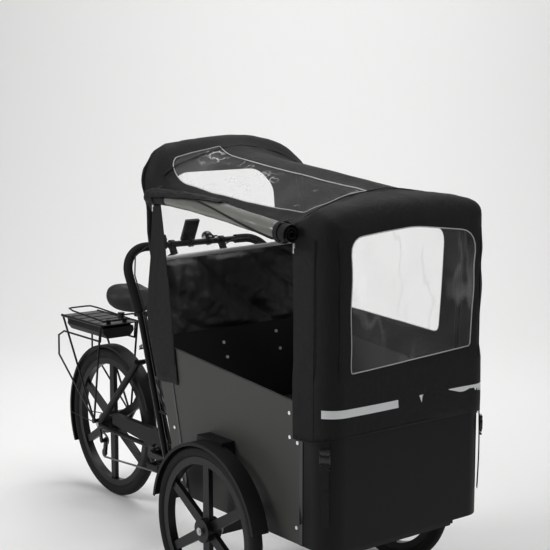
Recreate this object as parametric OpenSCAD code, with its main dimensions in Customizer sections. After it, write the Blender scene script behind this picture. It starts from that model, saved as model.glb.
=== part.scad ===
// Three-wheel cargo bicycle: a rear frame with one driven wheel, hinged under a
// front box that turns with its two wheels, its hoop handlebar and its rain tent.
// Millimetres. +X points forward, +Y to the rider's left, +Z up, ground at Z = 0.

/* [Overall] */
// Length from the rear mudguard to the front of the tent
overall_l = 2272; // [2150:1:2450]
// Height of the tent's rear bow above the ground
tent_h = 1657; // [1560:1:1760]
// Outside width of the box over its side panels
box_w = 730; // [600:1:800]

/* [Wheels] */
// Radius of the rear wheel over its tyre
rear_r = 335; // [300:1:350]
// Radius of the front wheels over their tyres
front_r = 300; // [265:1:304]
// Section of the rear tyre
rear_tyre_w = 50; // [38:1:54]
// Section of the front tyres
front_tyre_w = 46; // [38:1:54]
// Height of the rim ring between its tyre bed and the spokes
rim_h = 27; // [20:1:34]
// Width of the rim rings
rim_w = 32; // [26:1:36]
// Number of broad spokes in each cast wheel
spoke_count = 6; // [5:1:8]
// Gap from a front tyre's side to the box
wheel_gap = 52; // [46:1:70]
// Distance from the tent's front to the front axle
axle_set_back = 559; // [480:1:620]
// Length of the rear wheel's hub
rear_hub_w = 84; // [76:1:86]
// Diameter of the rear axle
rear_axle_d = 12; // [10:0.5:14]
// Diameter of the front stub axles
stub_d = 15; // [12:0.5:20]

/* [Rear frame] */
// Diameter of the low main tube
spine_d = 60; // [45:1:64]
// Height of the main tube's middle above the ground
spine_z = 232; // [215:1:236]
// Distance from the rear axle to the cranks
chainstay_l = 448; // [435:1:480]
// Height of the cranks above the ground
bb_z = 300; // [290:1:330]
// Outer diameter of the seat tube
seat_tube_d = 36; // [34:1:42]
// Lean of the seat tube from the vertical, in degrees
seat_lean = 20; // [15:0.5:24]
// Length of the seat tube above the cranks
seat_tube_l = 470; // [430:1:520]
// Diameter of the seat post
post_d = 31.6; // [25:0.1:31.6]
// Height of the saddle's middle above the ground
saddle_z = 918; // [880:1:960]
// Lean of the display's face forward of the handlebar's plane, in degrees
display_lean = 53; // [48:1:58]
// Distance from the front axle back to the steering pin
pin_set_back = 135; // [60:1:200]
// Diameter of the steering pin
pin_d = 30; // [20:0.5:36]

/* [Drive] */
// Radius of the chainring
ring_r = 84; // [70:1:90]
// Radius of the sprocket that the chain runs on
cog_r = 38; // [32:1:42]
// Radius of the two derailleur pulleys
pulley_r = 14; // [11:1:16]
// Distance of the chain from the middle plane
chain_y = 52; // [50:0.5:54]
// Length of the crank arms
crank_l = 170; // [150:1:175]
// Diameter of the crank spindle
spindle_d = 24; // [18:0.5:26]

/* [Rack] */
// Height of the rack's deck above the ground
deck_z = 790; // [760:1:820]
// Length of the deck
deck_l = 360; // [300:1:420]
// Width of the deck
deck_w = 200; // [195:1:240]
// Height of the battery
battery_h = 55; // [45:1:60]
// Length of the battery
battery_l = 320; // [260:1:340]

/* [Box] */
// Height of the box's underside above the ground
floor_z = 345; // [343:1:360]
// Thickness of the box panels
wall = 12; // [9:1:16]
// Height of the side panels' top edge at the rear
side_rear_z = 897; // [860:1:930]
// Height of the side panels' top edge at the front
side_front_z = 816; // [780:1:840]
// Height of the rear panel's top edge
back_z = 925; // [900:1:960]
// Height of the front panel's top edge
front_panel_z = 830; // [800:1:860]
// Radius of the box's front corners
corner_r = 80; // [60:1:100]
// Height of the bench board above the ground
bench_z = 600; // [560:1:640]
// Thickness of the bench cushion
cushion_h = 55; // [40:1:70]

/* [Handlebar] */
// Diameter of the handlebar tube
bar_d = 24; // [22:0.1:28]
// Outer diameter of the foam grips
grip_d = 35; // [32:0.5:38]
// Half the distance between the handlebar's legs
bar_half = 350; // [300:1:352]
// Height of the handlebar's top bar above the ground
bar_z = 1212; // [1160:1:1260]
// Radius of the handlebar's two top bends
bend_r = 110; // [90:1:130]

/* [Tent] */
// Thickness of the tent's cloth
cloth = 3; // [2:0.5:4]
// Height of the tent's front edge at the roof
tent_front_z = 1480; // [1430:1:1500]
// Height of the tent's front hem
hem_z = 722; // [700:1:735]
// Height of the tent's rear flaps
flap_z = 745; // [735:1:800]
// Diameter of the tent's bow tubes
bow_d = 18; // [14:1:22]
// Diameter of the rolled-up side window
roll_d = 50; // [40:1:56]
// Height of the reflective band
band_h = 26; // [20:1:40]

/* [Fits] */
// Radial running clearance of a shaft in its bore
run = 0.05; // [0.02:0.01:0.1]
// Gap between pieces that rest against each other
gap = 0.3; // [0.2:0.05:0.5]

/* [Hidden] */
$fn = 64;
front_x = overall_l / 2;
rear_x = -overall_l / 2;
band_t = 1;
tent_x = front_x - band_t - gap;
tent_half = box_w / 2 + 2 + gap + gap + cloth;
guard_t = 2;
guard_r = rear_r + 12;
rear_axle_x = rear_x + guard_r + guard_t;
bb_x = rear_axle_x + chainstay_l;
front_axle_x = front_x - axle_set_back;
pin_x = front_axle_x - pin_set_back;
wheel_y = box_w / 2 + wheel_gap + front_tyre_w / 2;

rear_bed_r = rear_r - rear_tyre_w + 5;
front_bed_r = front_r - front_tyre_w + 5;
fender_r = front_r + 8;

seat_u = [-sin(seat_lean), 0, cos(seat_lean)];
bb = [bb_x, 0, bb_z];
seat_top = bb + seat_tube_l * seat_u;
post_top = bb + (saddle_z - 66 - bb_z) / cos(seat_lean) * seat_u;
saddle_x = post_top[0] - 30;
stay_top_z = 660;
stay_top_x = bb_x - (stay_top_z - bb_z) * tan(seat_lean) - seat_tube_d / 2 / cos(seat_lean) - 10.6;
drop_y = 71;
drop_t = 8;
drop_r = 25;

chain_w = 5;
chain_t = 7;
chain_off = gap + gap + chain_t / 2;
cog_c = [rear_axle_x, rear_r];
ring_c = [bb_x, bb_z];
guide_c = [rear_axle_x + 14, rear_r - cog_r - pulley_r - 24];
tension_c = [rear_axle_x + 2, guide_c[1] - 62];
cog_count = 7;
cog_step = 4;
cog_first_y = chain_y - 2 * cog_step;

deck_x0 = rear_x + 60;
deck_x1 = deck_x0 + deck_l;
rail_d = 12;
strut_y = drop_y + drop_t + 11 + gap + 5;
battery_top_z = deck_z - rail_d / 2 - 1;
battery_x0 = deck_x0 + 22;

pin_top_z = floor_z - 15;
housing_z0 = spine_z + spine_d / 2 + 10 + gap;
housing_z1 = pin_top_z - 15;

seam_x = front_x - 135;
panel_x = front_x - 10;
rear_bot_x = front_axle_x - 285;
wing_tan = 0.3084;
back_tan = 0.2426;
back_bot_x = rear_bot_x + 47;
bench_x1 = front_axle_x - 16;

bar_lean = 27.7;
leg_lean = 17.9;
bar_x = front_axle_x - 697;
knee_drop = 282;
knee = [bar_x + knee_drop * sin(bar_lean), bar_half, bar_z - knee_drop * cos(bar_lean)];
foot_z = floor_z + 6;
foot = [knee[0] + (knee[2] - foot_z) * tan(leg_lean), bar_half, foot_z];
lever_u = 120;
lever_w = -36;
bell_u = 58;
display_u = -28;

bow_x = front_x - 1050;
bow_y = box_w / 2 - wall - 0.8 - bow_d / 2;
roll_rear = [front_x - 940, -tent_half + cloth / 2, 1445];
roll_front = [front_x - 132, -tent_half + cloth / 2, 1373];
door_rear_x = front_x - 886;
door_front_x = front_x - 186;
window_gap = 0.4;

// ---- helpers -------------------------------------------------------------------

// Round bar from a to b
module rod(a, b, d) {
    v = b - a;
    translate(a)
        rotate([0, acos(v[2] / norm(v)), atan2(v[1], v[0])])
            cylinder(h = norm(v), d = d);
}

// Round bar through a row of points, with slightly fuller ball corners
module bent_rod(points, d) {
    for (i = [0:len(points) - 2])
        rod(points[i], points[i + 1], d);
    for (i = [1:1:len(points) - 2])
        translate(points[i]) sphere(d = 1.05 * d, $fn = 20);
}

// Cylinder along Y between two Y values, at a point of the XZ plane
module pin_y(x, z, y0, y1, d) {
    translate([x, y1, z]) rotate([90, 0, 0]) cylinder(h = y1 - y0, d = d);
}

// Outline of the XZ plane given a thickness from y0 to y1
module slab_y(y0, y1) {
    translate([0, y1, 0]) rotate([90, 0, 0]) linear_extrude(y1 - y0) children();
}

// Turned ring about a wheel's axle, centred on y
module turned(x, y, z) {
    translate([x, y, z]) rotate([90, 0, 0]) rotate_extrude($fn = 96) children();
}

// The same piece on both sides of the middle plane
module both() {
    children();
    mirror([0, 1, 0]) children();
}

// Plan outline from x0 forward to x1, w wide, with two round front corners
module nose_plan(x0, x1, w, r)
    intersection() {
        translate([x0, -w / 2]) square([x1 - x0, w]);
        union() {
            translate([x0, -w / 2]) square([x1 - r - x0, w]);
            translate([x0, -w / 2 + r]) square([x1 - x0, w - 2 * r]);
            for (s = [-1, 1])
                translate([x1 - r, s * (w / 2 - r)]) circle(r = r);
        }
    }

// Stands a flat shape drawn as (left-right, up) in the handlebar's leaning plane
module in_bar_plane() {
    translate([bar_x, 0, bar_z]) rotate([0, -bar_lean, 0]) rotate([90, 0, 90]) children();
}

// Point of the handlebar's leaning plane in the model's frame
function bar_point(u, w, n) = [
    bar_x - w * sin(bar_lean) + n * cos(bar_lean),
    u,
    bar_z + w * cos(bar_lean) + n * sin(bar_lean)
];

// ---- wheels --------------------------------------------------------------------

module tyre_ring(x, y, z, r, w, bed_r) {
    turned(x, y, z) difference() {
        translate([r - w / 2, 0]) circle(d = w);
        translate([0, -w]) square([bed_r, 2 * w]);
    }
}

// Cast wheel: rim ring, broad spokes and a bored hub
module cast_wheel(x, y, z, bed_r, hub_d, y0, y1, bore_d) {
    rim_in = bed_r - rim_h;
    difference() {
        union() {
            turned(x, y, z) translate([rim_in, -rim_w / 2]) square([rim_h, rim_w]);
            pin_y(x, z, y0, y1, hub_d);
            translate([x, y + 9, z]) rotate([90, 0, 0]) linear_extrude(18)
                for (i = [0:spoke_count - 1])
                    rotate(90 + i * 360 / spoke_count)
                        polygon([[hub_d / 2 - 6, -19], [rim_in + 3, -16],
                                 [rim_in + 3, 16], [hub_d / 2 - 6, 19]]);
        }
        pin_y(x, z, y0 - 1, y1 + 1, bore_d);
    }
}

module rear_tyre()
    color([0.05, 0.05, 0.05])
        tyre_ring(rear_axle_x, 0, rear_r, rear_r, rear_tyre_w, rear_bed_r);

module rear_wheel()
    color([0.07, 0.07, 0.07])
        cast_wheel(rear_axle_x, 0, rear_r, rear_bed_r, 92, -rear_hub_w / 2 + 2,
                   rear_hub_w / 2 + 13, rear_axle_d + 2 * run);

module front_tyre_right()
    color([0.05, 0.05, 0.05])
        tyre_ring(front_axle_x, -wheel_y, front_r, front_r, front_tyre_w, front_bed_r);

module front_tyre_left()
    color([0.05, 0.05, 0.05])
        tyre_ring(front_axle_x, wheel_y, front_r, front_r, front_tyre_w, front_bed_r);

module front_wheel_right()
    color([0.07, 0.07, 0.07])
        cast_wheel(front_axle_x, -wheel_y, front_r, front_bed_r, 84,
                   -wheel_y - 30, -wheel_y + 28, stub_d + 2 * run);

module front_wheel_left()
    color([0.07, 0.07, 0.07])
        cast_wheel(front_axle_x, wheel_y, front_r, front_bed_r, 84,
                   wheel_y - 28, wheel_y + 30, stub_d + 2 * run);

module rear_axle()
    color([0.6, 0.6, 0.62]) {
        pin_y(rear_axle_x, rear_r, -drop_y - drop_t - 10, drop_y + drop_t + 10, rear_axle_d);
        both() pin_y(rear_axle_x, rear_r, drop_y + drop_t + gap, drop_y + drop_t + 9, 22);
    }

module stub_axles()
    color([0.55, 0.55, 0.57]) both() {
        pin_y(front_axle_x, front_r, box_w / 2 + 30 + gap, wheel_y + 42, stub_d);
        pin_y(front_axle_x, front_r, box_w / 2 + 30 + gap, box_w / 2 + 36, 56);
        pin_y(front_axle_x, front_r, wheel_y + 30 + gap, wheel_y + 40, 28);
    }

// ---- rear frame ----------------------------------------------------------------

module main_frame()
    color([0.06, 0.06, 0.06]) difference() {
        union() {
            bent_rod([[pin_x, 0, spine_z], [bb_x + 150, 0, spine_z], bb], spine_d);
            translate([pin_x, 0, spine_z]) cylinder(h = spine_d / 2 + 10, d = 70);
            translate([pin_x, 0, spine_z]) cylinder(h = pin_top_z - spine_z, d = pin_d);
            pin_y(bb_x, bb_z, -36.5, 36.5, 62);
            rod(bb, seat_top, seat_tube_d);
            rod(bb + 0.66 * seat_tube_l * seat_u, [bb_x + 250, 0, spine_z + 14], 42);
        }
        pin_y(bb_x, bb_z, -60, 60, spindle_d + 2 * run);
        rod(bb + 150 * seat_u, seat_top + 5 * seat_u, post_d + 2 * run);
    }

module rear_stays()
    color([0.06, 0.06, 0.06]) difference() {
        union() {
            both() {
                bent_rod([[bb_x - 43, 26, bb_z], [rear_axle_x + 90, 63, bb_z + 18],
                          [rear_axle_x + 10, drop_y + 4, rear_r - 4]], 20);
                rod([stay_top_x, 50, stay_top_z], [rear_axle_x + 12, drop_y + 4, rear_r + 12], 30);
                pin_y(rear_axle_x, rear_r, drop_y, drop_y + drop_t, 2 * drop_r);
                pin_y(rear_axle_x - 14, rear_r + 14, drop_y, drop_y + drop_t + 11, 14);
            }
            pin_y(stay_top_x, stay_top_z, -50, 50, 20);
        }
        both() {
            pin_y(rear_axle_x, rear_r, drop_y - 20, drop_y + 40, rear_axle_d + 2 * run);
            pin_y(rear_axle_x, rear_r, drop_y - 22, drop_y, 70);
            pin_y(rear_axle_x, rear_r, drop_y + drop_t, drop_y + 40, 26);
        }
    }

module kingpin_nut()
    color([0.6, 0.6, 0.62]) translate([pin_x, 0, housing_z1 + gap])
        difference() {
            cylinder(h = 11, d = pin_d + 20, $fn = 6);
            translate([0, 0, -1]) cylinder(h = 13, d = pin_d + 2 * gap);
        }

module seat_clamp()
    color([0.1, 0.1, 0.1]) translate(seat_top) rotate([0, -seat_lean, 0])
        difference() {
            union() {
                translate([0, 0, -22]) cylinder(h = 20, d = seat_tube_d + 10);
                translate([-seat_tube_d / 2 - 18, -26, -22]) cube([14, 34, 4 - gap]);
                translate([-seat_tube_d / 2 - 12, -18, -22]) cylinder(h = 18, d = 5);
            }
            translate([0, 0, -30]) cylinder(h = 40, d = seat_tube_d + 2 * gap);
        }

// Cam lever of the seat clamp, lying forward along the clamp's right side
module clamp_lever()
    color([0.6, 0.6, 0.62]) translate(seat_top) rotate([0, -seat_lean, 0]) {
        difference() {
            union() {
                translate([-seat_tube_d / 2 - 12, -18, -18]) cylinder(h = 12, d = 14);
                translate([-seat_tube_d / 2 - 12, -18, -16.5]) rotate(-22)
                    translate([-2, -6.5, 0]) cube([54, 5, 9]);
            }
            translate([-seat_tube_d / 2 - 12, -18, -19]) cylinder(h = 14, d = 5 + 2 * run);
        }
    }

module seatpost()
    color([0.12, 0.12, 0.12]) {
        rod(bb + 200 * seat_u, post_top, post_d);
        rod(post_top - 6 * seat_u, [saddle_x + 38, 0, saddle_z - 58], 24);
        pin_y(saddle_x + 38, saddle_z - 60, -17, 17, 26);
    }

// Wire rails with two coil springs drawn as plain sleeves
module saddle_rails()
    color([0.45, 0.45, 0.47]) both() {
        bent_rod([[saddle_x - 70, 42, saddle_z - 72], [saddle_x - 10, 21, saddle_z - 60],
                  [saddle_x + 85, 21, saddle_z - 60], [saddle_x + 118, 16, saddle_z - 15.2]], 7);
        translate([saddle_x - 72, 42, saddle_z - 86]) cylinder(h = 25.5, d = 30);
    }

module saddle()
    color([0.08, 0.08, 0.08]) hull() {
        for (s = [-1, 1])
            translate([saddle_x - 80, s * 54, saddle_z]) sphere(r = 60, $fn = 32);
        translate([saddle_x + 118, 0, saddle_z + 20]) sphere(r = 34, $fn = 32);
    }

// ---- drive ---------------------------------------------------------------------

module crankset()
    color([0.1, 0.1, 0.1]) {
        pin_y(bb_x, bb_z, -97, 97, spindle_d);
        for (s = [-1, 1])
            translate([bb_x, s * 91, bb_z]) rotate([90, 0, 0]) {
                difference() {
                    union() {
                        cylinder(h = 12, d = 36, center = true);
                        translate([-s * crank_l, 0, 0]) cylinder(h = 12, d = 26, center = true);
                        translate([s > 0 ? -crank_l : 0, -11, -6]) cube([crank_l, 22, 12]);
                    }
                    translate([-s * crank_l, 0, 0]) cylinder(h = 20, d = 12 + 2 * run, center = true);
                }
            }
    }

module chainring()
    color([0.2, 0.2, 0.2]) difference() {
        union() {
            pin_y(bb_x, bb_z, -chain_y - 1.5, -chain_y + 1.5, 2 * ring_r);
            pin_y(bb_x, bb_z, -84, -chain_y, 46);
        }
        pin_y(bb_x, bb_z, -100, 0, spindle_d + 2 * gap);
        for (i = [0:4])
            translate([bb_x, -chain_y, bb_z]) rotate([0, i * 72, 0]) translate([52, 0, 0])
                rotate([90, 0, 0]) cylinder(h = 10, d = 36, center = true);
    }

// Pedal block turning on its own spindle, s = -1 on the right and 1 on the left
module pedal(s) {
    x = bb_x - s * crank_l;
    pin_y(x, bb_z, min(s * 86, s * 190), max(s * 86, s * 190), 12);
    for (k = [-1, 1])
        translate([x + k * 32 - 8, min(s * 104, s * 196), bb_z - 13]) cube([16, 92, 26]);
    for (y = [104, 150, 186])
        translate([x - 30, min(s * y, s * (y + 10)), bb_z - 10]) cube([60, 10, 20]);
}

module pedal_right() color([0.08, 0.08, 0.08]) pedal(-1);

module pedal_left() color([0.08, 0.08, 0.08]) pedal(1);

module sprockets()
    color([0.35, 0.35, 0.36]) difference() {
        union() {
            pin_y(rear_axle_x, rear_r, -drop_y + 2, -rear_hub_w / 2 + 2 - gap, 38);
            for (i = [0:cog_count - 1])
                pin_y(rear_axle_x, rear_r, -cog_first_y - i * cog_step - 0.9,
                      -cog_first_y - i * cog_step + 0.9, 2 * (cog_r + (2 - i) * 4));
        }
        pin_y(rear_axle_x, rear_r, -drop_y, 0, rear_axle_d + 2 * run);
    }

module pulley(c)
    color([0.15, 0.15, 0.15]) difference() {
        pin_y(c[0], c[1], -chain_y - 1.5, -chain_y + 1.5, 2 * pulley_r);
        pin_y(c[0], c[1], -chain_y - 5, -chain_y + 5, 6 + 2 * run);
    }

module guide_pulley() pulley(guide_c);

module tension_pulley() pulley(tension_c);

module derailleur()
    color([0.12, 0.12, 0.12]) {
        for (y = [-chain_y - 6, -chain_y + 4])
            slab_y(y, y + 2) {
                for (c = [guide_c, tension_c])
                    translate(c) circle(d = 22);
                translate(tension_c)
                    rotate(atan2(guide_c[1] - tension_c[1], guide_c[0] - tension_c[0]))
                        translate([0, -9]) square([norm(guide_c - tension_c), 18]);
            }
        for (c = [guide_c, tension_c])
            pin_y(c[0], c[1], -chain_y - 6, -chain_y + 6, 6);
        pin_y(guide_c[0], guide_c[1], -drop_y - drop_t, -chain_y - 5, 18);
        slab_y(-drop_y - drop_t, -drop_y)
            polygon([[rear_axle_x - 8, rear_r - drop_r - gap], [rear_axle_x + 8, rear_r - drop_r - gap],
                     [guide_c[0] + 9, guide_c[1]], [guide_c[0] - 9, guide_c[1]]]);
    }

// Heading of the straight run between two circles that it passes on sides s1 and s2
function run_heading(c1, r1, s1, c2, r2, s2) =
    atan2(c2[1] - c1[1], c2[0] - c1[0]) - asin((s1 * r1 - s2 * r2) / norm(c2 - c1));

// Point where a run with heading a touches its circle
function run_touch(c, r, s, a) = c + s * r * [-sin(a), cos(a)];

// Angle a raised by whole turns until it is not below b
function past(a, b) = a + 360 * ceil((b - a) / 360);

chain_wheels = [[ring_c, ring_r + chain_off, -1], [cog_c, cog_r + chain_off, -1],
                [guide_c, pulley_r + chain_off, 1], [tension_c, pulley_r + chain_off, -1]];

// Closed loop of chain over the ring, a sprocket and both pulleys
module chain()
    color([0.25, 0.25, 0.25]) slab_y(-chain_y - chain_w / 2, -chain_y + chain_w / 2)
        for (i = [0:3]) {
            w0 = chain_wheels[(i + 3) % 4];
            w1 = chain_wheels[i];
            w2 = chain_wheels[(i + 1) % 4];
            a_in = run_heading(w0[0], w0[1], w0[2], w1[0], w1[1], w1[2]);
            a_out = run_heading(w1[0], w1[1], w1[2], w2[0], w2[1], w2[2]);
            p = run_touch(w1[0], w1[1], w1[2], a_out);
            q = run_touch(w2[0], w2[1], w2[2], a_out);
            translate(p) rotate(a_out) translate([0, -chain_t / 2]) square([norm(q - p), chain_t]);
            sweep = w1[2] < 0 ? past(a_out, a_in) - a_in : past(a_in, a_out) - a_out;
            start = w1[2] < 0 ? a_in - 90 : a_out + 90;
            translate(w1[0]) chain_arc(w1[1], start, sweep);
        }

// Part of a flat ring from one angle through a sweep, made of a ring cut by wedges
module chain_arc(r, start, sweep)
    intersection() {
        difference() {
            circle(r = r + chain_t / 2);
            circle(r = r - chain_t / 2);
        }
        polygon(concat([[0, 0]], [for (k = [0:8]) 3 * r * [cos(start + k * sweep / 8), sin(start + k * sweep / 8)]]));
    }

// Plate and top lip over the chain's upper run
module chain_guard()
    color([0.13, 0.13, 0.13]) {
        top0 = ring_r + chain_off + 12;
        slab_y(-chain_y - 14, -chain_y - 10) difference() {
            union() {
                translate(ring_c) circle(r = top0);
                polygon([[bb_x, bb_z + top0], [rear_axle_x + 95, rear_r + 64],
                         [rear_axle_x + 95, rear_r + 18], [bb_x, bb_z + 20]]);
            }
            translate([bb_x - 200, bb_z - top0 - 1]) square([400, top0 + 21]);
            translate(ring_c) circle(r = 40);
        }
        slab_y(-chain_y - 14, -38)
            polygon([[bb_x, bb_z + top0], [rear_axle_x + 95, rear_r + 64],
                     [rear_axle_x + 95, rear_r + 61], [bb_x, bb_z + top0 - 3]]);
        slab_y(-41, -38) polygon([[bb_x + 5, bb_z + 31 + gap], [bb_x - 5, bb_z + 31 + gap],
                                  [bb_x - 30, bb_z + top0], [bb_x - 10, bb_z + top0]]);
        translate([bb_x - 5, -41, bb_z + 31 + gap]) cube([10, 12, 5]);
    }

// ---- mudguard, rack, battery ---------------------------------------------------

module rear_mudguard()
    color([0.07, 0.07, 0.07]) {
        translate([rear_axle_x, 0, rear_r]) rotate([90, 0, 0]) rotate([0, 0, 20])
            rotate_extrude(angle = 186, $fn = 96) {
                translate([guard_r, -30]) square([guard_t, 60]);
                for (s = [-1, 1])
                    translate([guard_r - 9, s * 29 - 1]) square([10, 2]);
            }
        both() rod([rear_axle_x - guard_r + 3, 29, rear_r - 20],
                   [rear_axle_x - 20, drop_y + drop_t + 3, rear_r], 4);
        rod([rear_axle_x + guard_r * cos(56), 0, rear_r + guard_r * sin(56)],
            [stay_top_x - 11.5, 0, stay_top_z - 8], 9);
    }

module tail_light()
    color([0.08, 0.08, 0.08]) translate([rear_axle_x, 0, rear_r]) rotate([0, 23, 0])
        translate([-guard_r - guard_t - gap, 0, 0]) rotate([0, -90, 0])
            intersection() {
                cylinder(h = 7, d = 46);
                translate([-23, -21, 0]) cube([46, 42, 7]);
            }

module tail_lens()
    color([0.6, 0.05, 0.04]) translate([rear_axle_x, 0, rear_r]) rotate([0, 23, 0])
        translate([-guard_r - guard_t - 2 * gap - 7, 0, 0]) rotate([0, -90, 0])
            cylinder(h = 4, d = 38);

module luggage_rack()
    color([0.09, 0.09, 0.09]) {
        both() {
            rod([deck_x0, deck_w / 2 - 6, deck_z], [deck_x1, deck_w / 2 - 6, deck_z], rail_d);
            rod([deck_x0 + 12, strut_y, deck_z], [rear_axle_x - 14, strut_y, rear_r + 14], 9);
            rod([deck_x1 - 14, strut_y, deck_z], [rear_axle_x - 14, strut_y, rear_r + 14], 9);
            bent_rod([[deck_x1 - 20, 88, deck_z - rail_d / 2], [deck_x1 - 30, 88, 716],
                      [deck_x0 + 6, 88, 716], [rear_x + 14, 88, 690], [rear_x + 12, 88, 600],
                      [rear_axle_x - 18, strut_y, rear_r + 20]], 8);
            pin_y(rear_axle_x - 14, rear_r + 14, strut_y - 5, strut_y + 6, 22);
        }
        for (i = [0:4])
            translate([deck_x0 + i * (deck_l - 62) / 4, -deck_w / 2 + 6, deck_z - 2])
                cube([62, deck_w - 12, 4]);
        both() difference() {
            union() {
                pin_y(deck_x1 - 36, deck_z + 13, 34, 48, 14);
                translate([deck_x1 - 43, 34, deck_z]) cube([14, 14, 12]);
            }
            pin_y(deck_x1 - 36, deck_z + 13, 20, 60, 7 + 2 * run);
        }
    }

// Sprung wire bail that lies on the deck
module rack_spring_clip()
    color([0.15, 0.15, 0.15]) {
        x0 = deck_x0 - 8;
        x1 = deck_x1 - 36;
        z1 = deck_z + 13;
        bent_rod([[x1, 0, z1], [x1, 66, z1], [x0 + 60, 66, deck_z + 24], [x0 + 8, 56, deck_z + 27],
                  [x0, 36, deck_z + 27], [x0, -36, deck_z + 27], [x0 + 8, -56, deck_z + 27],
                  [x0 + 60, -66, deck_z + 24], [x1, -66, z1], [x1, 0, z1]], 7);
    }

module battery_rail()
    color([0.1, 0.1, 0.1]) both()
        difference() {
            translate([deck_x0 + 24, 60, battery_top_z - 9]) cube([deck_l - 70, 20, 9 + rail_d / 2 - 1]);
            translate([deck_x0, 50, battery_top_z - 5]) cube([deck_l, 19, 5]);
        }

module battery_pack()
    color([0.14, 0.14, 0.15]) {
        zt = battery_top_z - 9 - gap;
        zb = battery_top_z - battery_h;
        translate([battery_x0 + battery_l, 0, 0]) rotate([90, 0, -90]) linear_extrude(battery_l)
            polygon([[-76, zt], [76, zt], [78, zt - 20], [58, zb], [-58, zb], [-78, zt - 20]]);
        translate([battery_x0 + 10, -58, zt]) cube([battery_l - 40, 116, 9]);
        translate([battery_x0 + 10, -68, zt + 4 + 2 * gap]) cube([battery_l - 40, 136, 5 - 2 * gap]);
        translate([battery_x0 - 12, -50, zb + 8]) cube([12, 100, 26]);
    }

// ---- front carrier -------------------------------------------------------------

module chassis()
    color([0.06, 0.06, 0.06]) difference() {
        union() {
            both() translate([foot[0] - 20, 232, floor_z - gap - 40])
                cube([front_x - 50 - foot[0], 40, 40]);
            translate([foot[0] - 20, -box_w / 2, floor_z - gap - 40]) cube([40, box_w, 40]);
            translate([front_x - 100, -250, floor_z - gap - 40]) cube([40, 500, 40]);
            translate([front_axle_x - 22, -box_w / 2 - 30, front_r - 22]) cube([44, box_w + 60, 44]);
            translate([pin_x - 32, -250, housing_z1 - 22]) cube([64, 500, 22]);
            translate([pin_x, 0, housing_z0]) cylinder(h = housing_z1 - housing_z0, d = 64);
        }
        translate([pin_x, 0, housing_z0 - 5])
            cylinder(h = housing_z1 - housing_z0 + 10, d = pin_d + 2 * run);
    }

// X of the side panels' leaning rear edge at height z
function wing_x(z) = rear_bot_x - (z - floor_z) * wing_tan;

// X of the rear panel's rear face at height z
function back_x(z) = back_bot_x - (z - floor_z) * back_tan;

// Height of the side panels' top edge at x
function side_top_z(x) =
    side_front_z + (side_rear_z - side_front_z) * (seam_x - x) / (seam_x - wing_x(side_rear_z));

module side_panels()
    color([0.29, 0.29, 0.28]) both()
        slab_y(box_w / 2 - wall, box_w / 2)
            polygon([[rear_bot_x, floor_z], [seam_x - gap, floor_z],
                     [seam_x - gap, side_front_z], [wing_x(side_rear_z), side_rear_z]]);

module front_panel()
    color([0.1, 0.1, 0.1]) translate([0, 0, floor_z])
        linear_extrude(front_panel_z - floor_z) difference() {
            nose_plan(seam_x, panel_x, box_w, corner_r);
            nose_plan(seam_x - 1, panel_x - wall, box_w - 2 * wall, corner_r - wall);
        }

module rear_panel()
    color([0.1, 0.1, 0.1]) {
        half = box_w / 2 - wall - gap;
        run_x = wall / cos(atan(back_tan));
        slab_y(-half, half)
            polygon([[back_x(floor_z), floor_z], [back_x(floor_z) + run_x, floor_z],
                     [back_x(back_z) + run_x, back_z], [back_x(back_z), back_z]]);
    }

module floor_panel()
    color([0.12, 0.12, 0.12]) translate([0, 0, floor_z]) linear_extrude(wall)
        nose_plan(back_x(floor_z) + wall + 1, panel_x - wall - gap,
                  box_w - 2 * wall - 2 * gap, corner_r - wall - gap);

// Dark profiles over the box's upright seams
module corner_trims()
    color([0.04, 0.04, 0.04]) both() {
        y = box_w / 2 + gap;
        slab_y(y, y + 2) polygon([[seam_x - 8, floor_z], [seam_x + 8, floor_z],
                                  [seam_x + 8, side_front_z - 2], [seam_x - 8, side_front_z - 2]]);
        slab_y(y, y + 2)
            polygon([[back_x(floor_z), floor_z], [back_x(floor_z) + 14, floor_z],
                     [back_x(side_rear_z - 20) + 14, side_rear_z - 20],
                     [back_x(side_rear_z - 20), side_rear_z - 20]]);
    }

// Button-head bolts of the box, outside and on the rear panel's inner face
module box_bolts()
    color([0.75, 0.75, 0.76]) {
        y = box_w / 2 + gap;
        both() {
            for (p = [[door_front_x - 12, 780], [door_front_x - 9, 699], [seam_x - 20, 688],
                      [back_x(588) - 20, 588], [back_x(400) - 22, 400], [seam_x - 24, 400]])
                pin_y(p[0], p[1], y, y + 2, 13);
        }
        for (p = [[-117, 871], [-110, 816], [137, 885], [145, 818]])
            translate([back_x(p[1]) + wall / cos(atan(back_tan)) + gap, p[0], p[1]])
                rotate([0, 90 - atan(back_tan), 0]) cylinder(h = 4, d = 13);
    }

module bench()
    color([0.12, 0.12, 0.12]) {
        half = box_w / 2 - wall - gap;
        x0 = back_x(bench_z - 14) + wall / cos(atan(back_tan)) + gap;
        z0 = floor_z + wall + gap;
        translate([x0, -half, bench_z - 14]) cube([bench_x1 - x0, 2 * half, 14]);
        translate([bench_x1 - 30, -half, z0]) cube([12, 2 * half, bench_z - 7 - z0]);
    }

module bench_cushion()
    color([0.2, 0.2, 0.21]) {
        half = box_w / 2 - wall - 14;
        x0 = back_x(bench_z) + wall + 6;
        translate([0, 0, bench_z + gap]) linear_extrude(cushion_h)
            nose_plan(x0, bench_x1 - 2, 2 * half, 24);
    }

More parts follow.
